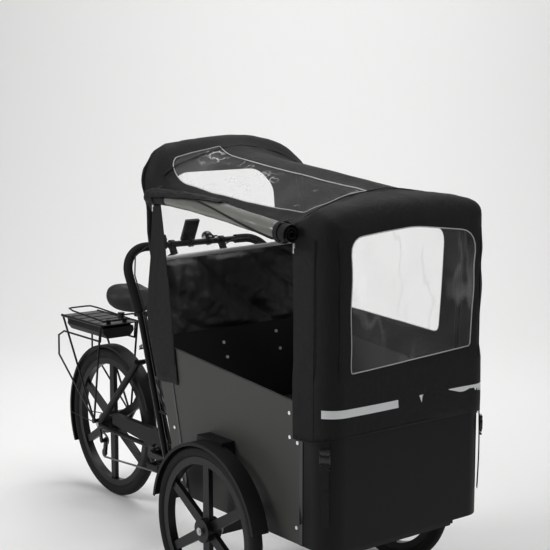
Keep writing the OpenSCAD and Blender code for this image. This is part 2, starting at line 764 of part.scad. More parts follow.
// Half-round guards over the front wheels with their brackets to the box
module front_fenders()
    color([0.07, 0.07, 0.07]) both() {
        translate([front_axle_x, wheel_y, front_r]) rotate([90, 0, 0]) rotate([0, 0, 12])
            rotate_extrude(angle = 158, $fn = 96) {
                translate([fender_r, -33]) square([2.5, 66]);
                for (s = [-1, 1])
                    translate([fender_r - 9, s * 32 - 1]) square([10, 2]);
            }
        difference() {
            translate([front_axle_x - 95, box_w / 2 + gap, front_r + fender_r - 14])
                cube([150, wheel_y - box_w / 2 - 20, 24]);
            pin_y(front_axle_x, front_r, 0, 900, 2 * fender_r + 1);
        }
        translate([front_axle_x - 95, box_w / 2 + gap, front_r + fender_r - 52]) cube([150, 5, 62]);
    }

// ---- handlebar -----------------------------------------------------------------

module bar_bend(s, d)
    translate([s * (bar_half - bend_r), -bend_r, 0]) rotate([0, 0, s > 0 ? 0 : 90])
        rotate_extrude(angle = 90, $fn = 96) translate([bend_r, 0]) circle(d = d);

module handlebar()
    color([0.06, 0.06, 0.06]) {
        in_bar_plane() {
            rod([-(bar_half - bend_r), 0, 0], [bar_half - bend_r, 0, 0], bar_d);
            for (s = [-1, 1]) {
                bar_bend(s, bar_d);
                rod([s * bar_half, -bend_r, 0], [s * bar_half, -knee_drop, 0], bar_d);
            }
        }
        both() {
            translate(knee) sphere(d = 1.05 * bar_d, $fn = 32);
            rod(knee, foot, bar_d);
            translate([foot[0], foot[1] - 3, floor_z]) cylinder(h = 10, d = 34);
            for (z = [430, 620])
                rod([foot[0] - (z - foot_z) * tan(leg_lean), bar_half, z],
                    [wing_x(z) - gap - 3, bar_half, z], 10);
            for (z = [430, 620])
                translate([wing_x(z) - 6, box_w / 2 - wall - 22, z - 12])
                    cube([26, 22 - gap, 24]);
        }
    }

module foam_grips()
    color([0.05, 0.05, 0.05]) in_bar_plane()
        for (s = [-1, 1]) difference() {
            union() {
                bar_bend(s, grip_d);
                rod([s * 190, 0, 0], [s * (bar_half - bend_r), 0, 0], grip_d);
                rod([s * bar_half, -bend_r, 0], [s * bar_half, -262, 0], grip_d);
            }
            bar_bend(s, bar_d + 2 * gap);
            rod([s * 180, 0, 0], [s * (bar_half - bend_r) + s * 0.01, 0, 0], bar_d + 2 * gap);
            rod([s * bar_half, -bend_r + 0.01, 0], [s * bar_half, -270, 0], bar_d + 2 * gap);
        }

// Clamp ring round the top bar
module bar_clamp(u, w, d)
    rotate([0, 90, 0]) translate([0, 0, u - w / 2]) difference() {
        cylinder(h = w, d = d);
        translate([0, 0, -1]) cylinder(h = w + 2, d = bar_d + 2 * gap);
    }

module lever_perches()
    color([0.08, 0.08, 0.08]) in_bar_plane()
        for (s = [-1, 1]) {
            bar_clamp(s * lever_u, 18, 36);
            difference() {
                union() {
                    translate([s * lever_u - 9, lever_w - 8, -12]) cube([18, 30, 24]);
                    translate([s * lever_u, lever_w, -12]) cylinder(h = 24, d = 18);
                }
                translate([s * lever_u - 30, lever_w - 30, -5 - gap]) cube([60, 42, 10 + 2 * gap]);
            }
            translate([s * lever_u, lever_w, -12]) cylinder(h = 24, d = 6);
            if (s < 0) {
                bar_clamp(-158, 16, 34);
                translate([-168, 13, -14]) cube([22, 24, 31]);
                translate([-157, 28, 16]) cylinder(h = 9, d = 4);
            }
        }

// Lever blade with a ball end, s = -1 on the right and 1 on the left
module brake_lever(s)
    in_bar_plane() difference() {
        union() {
            translate([s * lever_u, lever_w, -5]) cylinder(h = 10, d = 16);
            translate([s * lever_u, lever_w, -4]) linear_extrude(8)
                polygon([[0, 5], [s * 48, -15], [s * 88, -24], [s * 116, -38],
                         [s * 112, -46], [s * 86, -33], [s * 44, -25], [0, -7]]);
            translate([s * (lever_u + 116), lever_w - 43, -6]) cylinder(h = 12, d = 13);
        }
        translate([s * lever_u, lever_w, -6]) cylinder(h = 12, d = 6 + 2 * run);
    }

module brake_lever_right() color([0.1, 0.1, 0.1]) brake_lever(-1);

module brake_lever_left() color([0.1, 0.1, 0.1]) brake_lever(1);

module shift_lever()
    color([0.12, 0.12, 0.12]) in_bar_plane() difference() {
        union() {
            translate([-157, 28, 17 + gap]) cylinder(h = 5, d = 16);
            translate([-161, 0, 17 + gap]) cube([8, 28, 5]);
        }
        translate([-157, 28, 16]) cylinder(h = 9, d = 4 + 2 * run);
    }

// Frame of the display's face: its top leans forward, so that the rider looks down on it
module on_display()
    translate([display_u, 48.5, 19]) rotate([display_lean, 0, 0]) children();

module display()
    color([0.06, 0.06, 0.07]) in_bar_plane() {
        bar_clamp(display_u, 16, 34);
        translate([display_u - 8, 14, -6]) cube([16, 22, 12]);
        difference() {
            on_display() translate([-31, -46, -6]) cube([62, 92, 13]);
            on_display() translate([20, -34, -7]) cylinder(h = 9, d = 12.6);
        }
    }

// Push button in the display's rear face
module display_button()
    color([0.2, 0.2, 0.21]) in_bar_plane()
        on_display() translate([20, -34, -8]) cylinder(h = 6, d = 12);

module bell()
    color([0.1, 0.1, 0.1]) in_bar_plane() {
        bar_clamp(bell_u, 12, 32);
        translate([bell_u, 14, 0]) rotate([-90, 0, 0]) cylinder(h = 8, d = 14);
        translate([bell_u, 12 + gap + gap, -5]) cube([33, 4, 10]);
        translate([bell_u + 27 + gap, 13, 0]) rotate([-90, 0, 0]) cylinder(h = 14, d = 3);
        translate([bell_u, 21, 0]) difference() {
            sphere(d = 45);
            translate([-30, -60, -30]) cube([60, 60, 60]);
        }
    }

module bell_lever()
    color([0.15, 0.15, 0.15]) in_bar_plane() difference() {
        union() {
            translate([bell_u + 27 + gap, 17, 0]) rotate([-90, 0, 0]) cylinder(h = 8, d = 8);
            translate([bell_u + 28, 17, -3]) cube([21, 5, 6]);
        }
        translate([bell_u + 27 + gap, 10, 0]) rotate([-90, 0, 0]) cylinder(h = 20, d = 3 + 2 * run);
    }

// Brake hoses held along the back of the handlebar's legs
module brake_cables()
    color([0.04, 0.04, 0.04]) {
        off = grip_d / 2 + 3.2;
        low = off / cos(leg_lean);
        side = bar_half - 12;
        for (s = [-1, 1])
            bent_rod([bar_point(s * 129.5, -22, 9.5), bar_point(s * 165, -8, off),
                      bar_point(s * 250, -8, off),
                      bar_point(s * 312, -40, off), bar_point(s * side, -118, off),
                      bar_point(s * side, -knee_drop, off),
                      [foot[0] + low, s * side, foot_z + 14]], 5);
    }

// ---- rain tent -----------------------------------------------------------------

// Rear and front arches of the tent as (Y, Z) half outlines from hem to apex
function rear_arch(o) = [
    [tent_half - o, flap_z], [tent_half - o, tent_h - 187], [tent_half - 19 - o, tent_h - 112 - o / 2],
    [tent_half - 71 - o / 2, tent_h - 69 - o], [tent_half - 171, tent_h - 32 - o],
    [tent_half - 281, tent_h - 5 - o], [0, tent_h - o]
];
function front_arch(o) = [
    [tent_half - o, hem_z - 22], [tent_half - o, tent_front_z - 80],
    [tent_half - 21 - o, tent_front_z - 35 - o / 2], [tent_half - 71 - o / 2, tent_front_z - 15 - o],
    [tent_half - 221, tent_front_z - 2 - o], [0, tent_front_z - o]
];

// Whole outline from a half outline
function mirrored(half) = concat(half, [for (i = [len(half) - 2:-1:0]) [-half[i][0], half[i][1]]]);

module arch_slab(outline, x0, x1)
    translate([x0, 0, 0]) rotate([90, 0, 90]) linear_extrude(x1 - x0) polygon(mirrored(outline));

// Solid body of the tent, set in by o from the cloth's outer face
module tent_body(o) {
    r = corner_r - o;
    hull() {
        arch_slab(rear_arch(o), bow_x, bow_x + 6);
        arch_slab(front_arch(o), tent_x - 112, tent_x - 100);
        for (s = [-1, 1]) {
            translate([tent_x - corner_r, s * (tent_half - corner_r), hem_z])
                cylinder(h = 10, r = r, $fn = 40);
            translate([tent_x - corner_r, s * (tent_half - corner_r), tent_front_z - 25 - corner_r])
                sphere(r = r, $fn = 40);
        }
    }
}

// Cloth skin with an open underside and an open rear
module tent_skin()
    difference() {
        tent_body(0);
        tent_body(cloth);
        translate([0, 0, 600]) linear_extrude(130)
            nose_plan(bow_x - 1, tent_x - cloth, 2 * (tent_half - cloth), corner_r - cloth);
        translate([bow_x - 50, -tent_half + cloth, 600]) cube([120, 2 * (tent_half - cloth), tent_h - 760]);
        translate([bow_x - 1, -tent_half + cloth, flap_z - 100])
            cube([tent_x - bow_x - corner_r, 2 * (tent_half - cloth), 300]);
    }

// Height of the rolled window's middle at x
function roll_z(x) = roll_rear[2]
    + (roll_front[2] - roll_rear[2]) * (x - roll_rear[0]) / (roll_front[0] - roll_rear[0]);

// Openings of the skin, made smaller by o: front window, roof light, side windows
module front_window_cut(o)
    translate([tent_x - 40, 0, 0]) rotate([90, 0, 90]) linear_extrude(80)
        polygon([[-283 + o, 950 + o], [283 - o, 950 + o], [283 - o, 1310], [240, 1362 - o],
                 [0, 1372 - o], [-240, 1362 - o], [-283 + o, 1310]]);

module roof_window_cut(o)
    translate([0, 0, 1390]) linear_extrude(400)
        polygon([[bow_x + 70 + o, -285 + o], [tent_x - 200 - o, -285 + o],
                 [tent_x - 240 - o, -20 - o], [bow_x + 70 + o, -60 - o]]);

module left_window_cut(o)
    slab_y(tent_half - 30, tent_half + 30)
        polygon([[door_rear_x + 30 + o, 1010 + o], [door_front_x - 40 - o, 930 + o],
                 [door_front_x - o, 970 + o], [door_front_x - o, 1350 - o],
                 [door_rear_x - 30 + o, 1410 - o], [door_rear_x + o, 1030 + o]]);

module right_door_cut()
    slab_y(-tent_half - 30, -tent_half + 30)
        polygon([[door_rear_x + 6, 600], [roll_rear[0] - 12, 1300],
                 [roll_rear[0] - 12, roll_z(roll_rear[0] - 12) + roll_d / 2 + gap],
                 [roll_front[0] + 6, roll_z(roll_front[0] + 6) + roll_d / 2 + gap],
                 [roll_front[0] + 6, 1340], [door_front_x, 1290], [door_front_x, 600]]);

// Leaning rear cloth, from the box's rear panel up to its clear pane
module rear_cloth() {
    half = bow_y - bow_d / 2 - 2;
    slab_y(-half, half)
        polygon([[back_x(back_z) + 2, back_z + gap], [back_x(back_z) + 6, back_z + gap],
                 [bow_x + 11, 1236], [bow_x + 11, tent_h - 330], [bow_x + 7, tent_h - 330],
                 [bow_x + 7, 1236]]);
}

module rear_gable(o)
    translate([bow_x + 7, 0, 0]) rotate([90, 0, 90]) linear_extrude(4) difference() {
        intersection() {
            polygon(mirrored(rear_arch(cloth - 1)));
            translate([-tent_half, tent_h - 335]) square([2 * tent_half, 400]);
        }
        polygon([[-300, 1250], [300, 1250], [300, tent_h - 170], [240, tent_h - 118],
                 [0, tent_h - 78], [-240, tent_h - 118], [-300, tent_h - 170]]);
    }

module canopy()
    color([0.1, 0.1, 0.1]) {
        difference() {
            tent_skin();
            front_window_cut(0);
            roof_window_cut(0);
            left_window_cut(0);
            right_door_cut();
        }
        difference() {
            rear_cloth();
            translate([bow_x - 10, -300, 1250]) cube([60, 600, 400]);
        }
        rear_gable(0);
    }

module tent_windows()
    color([0.85, 0.87, 0.88, 0.35]) {
        intersection() {
            tent_skin();
            union() {
                front_window_cut(window_gap);
                roof_window_cut(window_gap);
                left_window_cut(window_gap);
            }
        }
        translate([bow_x + 8, 0, 0]) rotate([90, 0, 90]) linear_extrude(2)
            polygon([[-300 + window_gap, 1250 + window_gap], [300 - window_gap, 1250 + window_gap],
                     [300 - window_gap, tent_h - 170 - window_gap],
                     [240, tent_h - 118 - window_gap], [0, tent_h - 78 - window_gap],
                     [-240, tent_h - 118 - window_gap],
                     [-300 + window_gap, tent_h - 170 - window_gap]]);
    }

module rolled_window()
    color([0.45, 0.46, 0.45]) rod(roll_rear, roll_front, roll_d);

// Bow tubes: a half outline moved in by the cloth and half a tube
module tent_bows()
    color([0.3, 0.3, 0.31]) {
        bent_rod([[wing_x(700) + 30, -bow_y, 700], [bow_x + 66, -bow_y, 905],
                  [bow_x + 24, -bow_y, tent_h - 200], [bow_x + 22, -bow_y + 40, tent_h - 132],
                  [bow_x + 22, -bow_y + 130, tent_h - 72], [bow_x + 22, 0, tent_h - 30],
                  [bow_x + 22, bow_y - 130, tent_h - 72], [bow_x + 22, bow_y - 40, tent_h - 132],
                  [bow_x + 24, bow_y, tent_h - 200], [bow_x + 66, bow_y, 905],
                  [wing_x(700) + 30, bow_y, 700]], bow_d);
        bent_rod([[seam_x - 18, -bow_y, 690], [tent_x - 118, -bow_y, tent_front_z - 110],
                  [tent_x - 118, -bow_y + 40, tent_front_z - 45],
                  [tent_x - 118, 0, tent_front_z - 18],
                  [tent_x - 118, bow_y - 40, tent_front_z - 45],
                  [tent_x - 118, bow_y, tent_front_z - 110], [seam_x - 18, bow_y, 690]], bow_d);
    }

// Reflective band sewn round the tent's nose
module reflective_band()
    color([0.78, 0.79, 0.8]) translate([0, 0, hem_z + 69]) linear_extrude(band_h)
        intersection() {
            difference() {
                nose_plan(seam_x, front_x, 2 * (tent_half + gap + band_t), corner_r + gap + band_t);
                nose_plan(seam_x - 1, front_x - band_t, 2 * (tent_half + gap), corner_r + gap);
            }
            translate([seam_x, -tent_half + 44]) square([200, 2 * tent_half - 88]);
        }

// Straps with side-release buckles that tie the hem to the box's front corners
module tent_straps()
    color([0.05, 0.05, 0.05]) both()
        translate([panel_x - corner_r, box_w / 2 - corner_r, 0]) rotate([0, 0, 52])
            translate([corner_r + gap, 0, 0]) {
                translate([0, -10, 430]) cube([2, 20, hem_z - 12 - 430]);
                translate([1.5, -15, hem_z - 64]) cube([8, 30, 44]);
            }

main_frame();
rear_stays();
kingpin_nut();
seat_clamp();
rear_axle();
rear_mudguard();
luggage_rack();
battery_rail();
tail_light();
tail_lens();
chain_guard();
chain();
derailleur();
battery_pack();
rack_spring_clip();
clamp_lever();
seatpost();
saddle_rails();
saddle();
crankset();
chainring();
pedal_right();
pedal_left();
rear_tyre();
rear_wheel();
sprockets();
guide_pulley();
tension_pulley();
chassis();
side_panels();
front_panel();
rear_panel();
floor_panel();
corner_trims();
box_bolts();
bench();
bench_cushion();
front_fenders();
stub_axles();
front_tyre_right();
front_wheel_right();
front_tyre_left();
front_wheel_left();
handlebar();
foam_grips();
lever_perches();
brake_lever_right();
brake_lever_left();
display();
display_button();
bell();
bell_lever();
shift_lever();
brake_cables();
tent_bows();
canopy();
tent_windows();
rolled_window();
reflective_band();
tent_straps();
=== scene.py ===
# %% [markdown]
# # A front-loading cargo tricycle under its rain tent
# The hard parts of this bicycle come from an exact CAD frame. This lesson dresses that frame:
# it gives every hard part its real finish, and sews, rolls and pads the soft parts that CAD
# can only stand in for: the tent, its clear windows, the rolled-up door, the saddle and the
# bench. We start by loading the frame and keeping its size.

# %% Load the frame
import math

import bmesh
import bpy
from mathutils import Matrix, Vector, noise


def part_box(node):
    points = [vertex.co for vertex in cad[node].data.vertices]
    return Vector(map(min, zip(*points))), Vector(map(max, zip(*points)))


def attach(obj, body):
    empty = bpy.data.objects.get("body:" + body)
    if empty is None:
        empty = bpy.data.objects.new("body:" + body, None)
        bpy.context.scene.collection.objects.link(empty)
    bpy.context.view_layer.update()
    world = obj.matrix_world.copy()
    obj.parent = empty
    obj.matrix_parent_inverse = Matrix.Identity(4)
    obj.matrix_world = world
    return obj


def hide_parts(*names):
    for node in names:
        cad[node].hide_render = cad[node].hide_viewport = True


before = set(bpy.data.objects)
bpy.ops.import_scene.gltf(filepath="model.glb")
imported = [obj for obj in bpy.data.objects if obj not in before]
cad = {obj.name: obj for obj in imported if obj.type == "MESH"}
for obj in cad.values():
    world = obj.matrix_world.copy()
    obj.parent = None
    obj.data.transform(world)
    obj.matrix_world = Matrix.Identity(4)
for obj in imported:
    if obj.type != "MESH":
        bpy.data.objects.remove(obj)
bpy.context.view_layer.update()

# %% [markdown]
# ## Camera
# A long lens from the front right, at about a rider's head height, keeps the box's edges almost
# parallel. The camera is made first; the paper floor and the lights come last.

# %% Camera
TURN, TILT = math.radians(37.93), math.radians(8.42)
LENS_MM, SENSOR_MM = 86.1, 36.0
CAMERA_AT = (4.211, -2.976, 1.855)
camera = bpy.data.objects.new("studio_camera", bpy.data.cameras.new("studio_camera"))
bpy.context.scene.collection.objects.link(camera)
camera.data.lens, camera.data.sensor_width = LENS_MM, SENSOR_MM
camera.location = CAMERA_AT
camera.rotation_mode = "QUATERNION"
camera.rotation_quaternion = Vector((
    -math.cos(TURN) * math.cos(TILT), math.sin(TURN) * math.cos(TILT), -math.sin(TILT)
)).to_track_quat("-Z", "Y")
bpy.context.scene.camera = camera

# %% [markdown]
# ## Shader maths as plain sums
# A finish is easier to read as arithmetic than as a picture of boxes and cords. `Wire` wraps a
# node's output and turns +, -, *, ** and > into Math nodes; `Finish` is one material, and its
# `node` method makes any other node from its type, its settings and its sockets.

# %% Wire and Finish
class Wire:
    def __init__(self, finish, socket):
        self.finish, self.socket = finish, socket

    def _math(self, kind, *others, clamp=False):
        made = self.finish.node("ShaderNodeMath", {"operation": kind, "use_clamp": clamp},
                                dict(enumerate([self, *others])))
        return self.finish.out(made, 0)

    def __add__(self, other): return self._math("ADD", other)
    def __mul__(self, other): return self._math("MULTIPLY", other)
    def __sub__(self, other): return self._math("SUBTRACT", other)
    def __rsub__(self, other): return self.finish.wire(other)._math("SUBTRACT", self)
    def __pow__(self, other): return self._math("POWER", other)
    def __abs__(self): return self._math("ABSOLUTE")
    def __gt__(self, other): return self._math("GREATER_THAN", other)
    def wave(self): return self._math("SINE")
    def clamped(self): return self._math("ADD", 0.0, clamp=True)
    def angle(self, other): return self._math("ARCTAN2", other)


class Finish:
    def __init__(self, name):
        self.material = bpy.data.materials.new(name)
        self.material.use_nodes = True
        self.tree = self.material.node_tree
        self.tree.nodes.clear()

    def node(self, kind, settings=None, sockets=None):
        made = self.tree.nodes.new(kind)
        for name, value in (settings or {}).items():
            setattr(made, name, value)
        for name, value in (sockets or {}).items():
            if isinstance(value, Wire):
                self.tree.links.new(value.socket, made.inputs[name])
            else:
                made.inputs[name].default_value = value
        return made

    def out(self, made, name):
        return Wire(self, made.outputs[name])

    def wire(self, number):
        made = self.node("ShaderNodeMath", {"operation": "ADD"}, {0: number, 1: 0.0})
        return self.out(made, 0)

    def place(self):
        return self.out(self.node("ShaderNodeTexCoord"), "Object")

    def xyz(self):
        parts = self.node("ShaderNodeSeparateXYZ", None, {"Vector": self.place()})
        return [self.out(parts, k) for k in ("X", "Y", "Z")]

    def speckle(self, per_metre, detail=3.0, rough=0.5, stretch=(1, 1, 1)):
        where = self.node("ShaderNodeMapping", None,
                          {"Vector": self.place(), "Scale": stretch})
        made = self.node("ShaderNodeTexNoise", None, {
            "Vector": self.out(where, 0), "Scale": per_metre, "Detail": detail, "Roughness": rough})
        return self.out(made, 0)

    def tones(self, amount, dark, light):
        mix = self.node("ShaderNodeMix", {"data_type": "RGBA"},
                        {0: amount, 6: (*dark, 1), 7: (*light, 1)})
        return self.out(mix, 2)

    def relief(self, height, depth_mm):
        made = self.node("ShaderNodeBump", None, {
            "Height": height, "Strength": 1.0, "Distance": depth_mm / 1000})
        return self.out(made, 0)

    def surface(self, colour, roughness, **more):
        sockets = {"Base Color": colour if isinstance(colour, Wire) else (*colour, 1),
                   "Roughness": roughness}
        sockets.update({k.replace("_", " "): v for k, v in more.items()})
        shader = self.node("ShaderNodeBsdfPrincipled", None, sockets)
        self.node("ShaderNodeOutputMaterial", None, {"Surface": self.out(shader, 0)})
        return self.material


# %% [markdown]
# ## The finishes
# Nearly all of this bicycle is black, so the finishes must differ in gloss and grain and not in
# colour: powder-coated tube has a fine orange peel, moulded plastic a matte grain, cast wheels a
# slight roughness from the mould, rubber a dull face with tread cut round the axle.

# %% Paint, plastic and metal
def grained(name, dark, light, rough, grain_per_metre, depth_mm, spread=0.06, **more):
    f = Finish(name)
    fine = f.speckle(grain_per_metre, 2.0)
    broad = f.speckle(9.0, 4.0)
    return f.surface(
        f.tones(broad, dark, light), ((broad - 0.5) * spread + rough).clamped(),
        Normal=f.relief(fine, depth_mm), **more)


powder_black = grained("powder_coat_black", (0.0055, 0.0055, 0.006), (0.010, 0.010, 0.0105),
                       0.36, 900, 0.05, Specular_IOR_Level=0.35, Coat_Weight=0.10,
                       Coat_Roughness=0.2)
plastic_black = grained("moulded_plastic_black", (0.007, 0.007, 0.0075), (0.013, 0.013, 0.0135),
                        0.50, 1500, 0.08, Specular_IOR_Level=0.35)
plastic_gloss = grained("polished_plastic_black", (0.008, 0.008, 0.009), (0.014, 0.014, 0.015),
                        0.16, 300, 0.01, Coat_Weight=0.5)
# The side panels are a lighter grey than the box's front, rear and floor panels: painted light, for
# the key light that falls on the right side.
side_panels_painted_light = grained("box_side_panels_painted_light", (0.064, 0.064, 0.061), (0.076, 0.076, 0.073),
                     0.52, 1300, 0.06)
panel_black = grained("box_panel_black", (0.006, 0.006, 0.0065), (0.010, 0.010, 0.0105),
                     0.42, 1300, 0.06, Specular_IOR_Level=0.3)
cast_black = grained("cast_alloy_black", (0.006, 0.006, 0.0065), (0.012, 0.012, 0.0125),
                     0.38, 420, 0.12, Specular_IOR_Level=0.40)
zinc_steel = grained("zinc_plated_steel", (0.42, 0.43, 0.44), (0.58, 0.58, 0.60),
                     0.34, 700, 0.04, Metallic=1.0)
# The bolts and zip pulls are near-white and only a quarter metallic: bright steel with a painted
# glint, so they show bright where real steel would mirror the dark inside of the box.
bolt_steel_glint = grained("bolt_steel_painted_glint", (0.82, 0.82, 0.83), (0.92, 0.92, 0.93),
                       0.26, 700, 0.02, Metallic=0.25)
oiled_chain = grained("oiled_chain_steel", (0.10, 0.095, 0.09), (0.24, 0.235, 0.23),
                      0.38, 600, 0.05, Metallic=0.9)
hose_black = grained("hose_rubber", (0.010, 0.010, 0.010), (0.016, 0.016, 0.016), 0.5, 800, 0.05)
foam_black = grained("foam_rubber", (0.008, 0.008, 0.008), (0.016, 0.016, 0.016), 0.80, 650, 0.35,
                     Specular_IOR_Level=0.3)
lens_red = grained("lens_red", (0.30, 0.008, 0.008), (0.42, 0.012, 0.012), 0.12, 400, 0.02,
                   Coat_Weight=0.8)


# %% Tyre rubber with a tread round its axle
CROWN_DEPTH = 0.020
RIBS, RIB_PER_METRE = 2.5, 260.0
RIB_GAP, BLOCK_GAP = 0.22, 0.28


def tyre_rubber(name, axle, half_width, radius, blocks):
    f = Finish(name)
    x, y, z = f.xyz()
    across = y - axle[1]
    turn = (z - axle[2]).angle(x - axle[0])
    out = ((x - axle[0]) ** 2.0 + (z - axle[2]) ** 2.0) ** 0.5
    crown = ((out - (radius - CROWN_DEPTH)) * 80.0).clamped()
    rows = abs(((turn * blocks) + (abs(across) * RIB_PER_METRE)).wave())
    ribs = abs((across * (math.pi * RIBS / half_width)).wave())
    grooves = ((ribs > RIB_GAP) * (rows > BLOCK_GAP)) * crown
    scuff = f.speckle(60, 4.0)
    return f.surface(
        f.tones(scuff, (0.006, 0.006, 0.006), (0.014, 0.014, 0.014)),
        (scuff * 0.15 + 0.62).clamped(), Specular_IOR_Level=0.35,
        Normal=f.relief(grooves + f.speckle(900, 2.0) * 0.12, 2.2))


def axle_of(node):
    low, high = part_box(node)
    return (low + high) / 2, (high.y - low.y) / 2, (high.z - low.z) / 2


tyre_finishes = {}
for node, blocks in (("rear_tyre", 58), ("front_tyre_right", 52), ("front_tyre_left", 52)):
    middle, half, radius = axle_of(node)
    tyre_finishes[node] = tyre_rubber(node + "_rubber", middle, half, radius, blocks)


# %% Cloth, film, webbing and saddle skin
WEAVE_PITCH = 0.0022


def tent_cloth_finish(name, dark, light, rough, shine=0.3):
    f = Finish(name)
    x, y, z = f.xyz()
    threads = 2 * math.pi / WEAVE_PITCH
    weave = ((x * threads).wave() * (z * threads).wave()
             + (y * threads).wave() * (z * threads).wave()
             + (x * threads).wave() * (y * threads).wave())
    creases = f.speckle(26, 5.0, 0.62)
    rubbed = f.speckle(7, 5.0)
    return f.surface(
        f.tones(rubbed, dark, light), ((rubbed - 0.5) * 0.2 + rough).clamped(),
        Normal=f.relief(weave * 0.10 + creases * 3.2, 1.3), Specular_IOR_Level=shine,
        Sheen_Weight=0.05, Sheen_Roughness=0.4)


tent_cloth = tent_cloth_finish(
    "tent_cloth_black", (0.0070, 0.0070, 0.0072), (0.0145, 0.0145, 0.0148), 0.60)
lining_cloth = tent_cloth_finish(
    "tent_lining_black", (0.009, 0.009, 0.0095), (0.018, 0.018, 0.0185), 0.34, 1.0)


def film_finish(name, colour, alpha, rough, ripple_mm, glint_paint, glint_patches=3.0, fine=6.0):
    """Clear sheet: alpha is its haze. Along thin crease lines the sheet is made opaque and whitish,
    a painted highlight standing in for light caught by the creases; the sixth argument sets how
    strong it is.
    """
    f = Finish(name)
    ripples = f.speckle(8, 3.0, 0.5)
    crease = f.speckle(fine, 2.5, 0.5, (1.0, 1.0, 0.45))
    glint_patch = ((f.speckle(glint_patches, 1.0) - 0.50) * 6.0).clamped()
    # Painted highlight: in patches, thin crease lines are made opaque, so the whitish film colour
    # shows there as glints.
    painted_glint = (1.0 - abs(crease - 0.5) * 26.0).clamped() * glint_patch
    haze = (f.speckle(5, 4.0) - 0.45).clamped() * 0.10
    return f.surface(colour, (haze + rough).clamped(),
                     Alpha=(haze + alpha + painted_glint * glint_paint).clamped(), IOR=1.45,
                     Normal=f.relief(ripples + crease * 0.3, ripple_mm))


# The sixth number of each film is the strength of its painted crease highlights.
clear_film = film_finish("clear_film", (0.80, 0.81, 0.81), 0.03, 0.10, 4.0, 0.10)
roof_film = film_finish("roof_film", (0.80, 0.81, 0.81), 0.05, 0.12, 4.0, 0.34, 7.0, 17.0)
rolled_film = film_finish("rolled_film_grey", (0.21, 0.21, 0.195), 0.93, 0.24, 3.0, 0.05)
white_welt = grained("welt_grey", (0.42, 0.42, 0.42), (0.58, 0.58, 0.58), 0.5, 800, 0.1)
zip_white = grained("zip_tape_white", (0.80, 0.80, 0.80), (0.92, 0.92, 0.92), 0.5, 800, 0.1)
webbing = tent_cloth_finish("webbing_black", (0.012, 0.012, 0.012), (0.022, 0.022, 0.022), 0.7)
cushion_cloth = tent_cloth_finish(
    "cushion_cloth", (0.020, 0.020, 0.022), (0.034, 0.034, 0.036), 0.85)


def saddle_skin_finish():
    f = Finish("saddle_skin")
    grain = f.node("ShaderNodeTexVoronoi", None, {"Vector": f.place(), "Scale": 520.0})
    scuff = f.speckle(14, 4.0)
    return f.surface(
        f.tones(scuff, (0.008, 0.008, 0.008), (0.017, 0.017, 0.017)),
        (scuff * 0.2 + 0.44).clamped(), Normal=f.relief(f.out(grain, 0), 0.35))


saddle_skin = saddle_skin_finish()


def reflective_finish():
    f = Finish("reflective_band")
    x, y, z = f.xyz()
    beads = ((x + y) * 900.0).wave() * (z * 900.0).wave()
    return f.surface((0.74, 0.75, 0.76), 0.38, Metallic=0.15, Normal=f.relief(beads, 0.15))


band_silver = reflective_finish()

# %% [markdown]
# ## Dress the hard parts
# Each CAD part keeps its shape, and only its material changes.

# %% Give each hard part its finish
finishes = {
    powder_black: "main_frame rear_stays seat_clamp luggage_rack rack_spring_clip seatpost "
                  "crankset chainring chassis handlebar derailleur saddle_rails tent_bows",
    zinc_steel: "kingpin_nut rear_axle clamp_lever stub_axles",
    bolt_steel_glint: "box_bolts",
    plastic_black: "rear_mudguard front_fenders battery_rail battery_pack chain_guard pedal_right "
                   "pedal_left guide_pulley tension_pulley lever_perches shift_lever bell_lever "
                   "display_button",
    plastic_gloss: "tail_light display bell corner_trims",
    lens_red: "tail_lens",
    cast_black: "rear_wheel front_wheel_right front_wheel_left brake_lever_right brake_lever_left",
    oiled_chain: "chain sprockets",
    # The side panels' lighter grey includes painted key light.
    side_panels_painted_light: "side_panels",
    panel_black: "front_panel rear_panel floor_panel bench",
    foam_black: "foam_grips",
    hose_black: "brake_cables",
}
for finish, names in finishes.items():
    for name in names.split():
        cad[name].data.materials.clear()
        cad[name].data.materials.append(finish)
for name, finish in tyre_finishes.items():
    cad[name].data.materials.clear()
    cad[name].data.materials.append(finish)


# %% [markdown]
# ## Helpers for new pieces
# Every new piece is a mesh whose place is in its vertices. `finish_piece` turns a bmesh into an
# object, smooths it, gives it its finish and fixes it to the body it moves with.

# %% Making pieces
def finish_piece(name, bm, material, body, smooth=True, replaces=()):
    mesh = bpy.data.meshes.new(name)
    bm.to_mesh(mesh)
    bm.free()
    piece = bpy.data.objects.new(name, mesh)
    bpy.context.scene.collection.objects.link(piece)
    mesh.materials.append(material)
    for face in mesh.polygons:
        face.use_smooth = smooth
    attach(piece, body)
    if replaces:
        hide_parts(*replaces)
    return piece


def add_modifier(piece, kind, **settings):
    made = piece.modifiers.new(kind.lower(), kind)
    for key, value in settings.items():
        setattr(made, key, value)
    return made


def mixed(a, b, t):
    return a + (b - a) * t


def eased(t):
    t = min(max(t, 0.0), 1.0)
    return t * t * (3 - 2 * t)


def table_at(rows, x):
    """Value at x from rows of (x, value), on a straight line between two rows."""
    if x <= rows[0][0]:
        return rows[0][1]
    for (x0, v0), (x1, v1) in zip(rows, rows[1:]):
        if x <= x1:
            return mixed(v0, v1, (x - x0) / (x1 - x0))
    return rows[-1][1]


def join_rows(bm, rows, closed=False, flipped=False):
    """Fills the space between rows of vertices with quads; closed rows are rings."""
    for a, b in zip(rows, rows[1:]):
        for k in range(len(a) if closed else len(a) - 1):
            n = (k + 1) % len(a)
            bm.faces.new((a[k], b[k], b[n], a[n]) if flipped else (a[k], a[n], b[n], b[k]))


def close_ends(bm, rings):
    bm.faces.new(rings[0][::-1])
    bm.faces.new(rings[-1])
    bmesh.ops.recalc_face_normals(bm, faces=bm.faces[:])


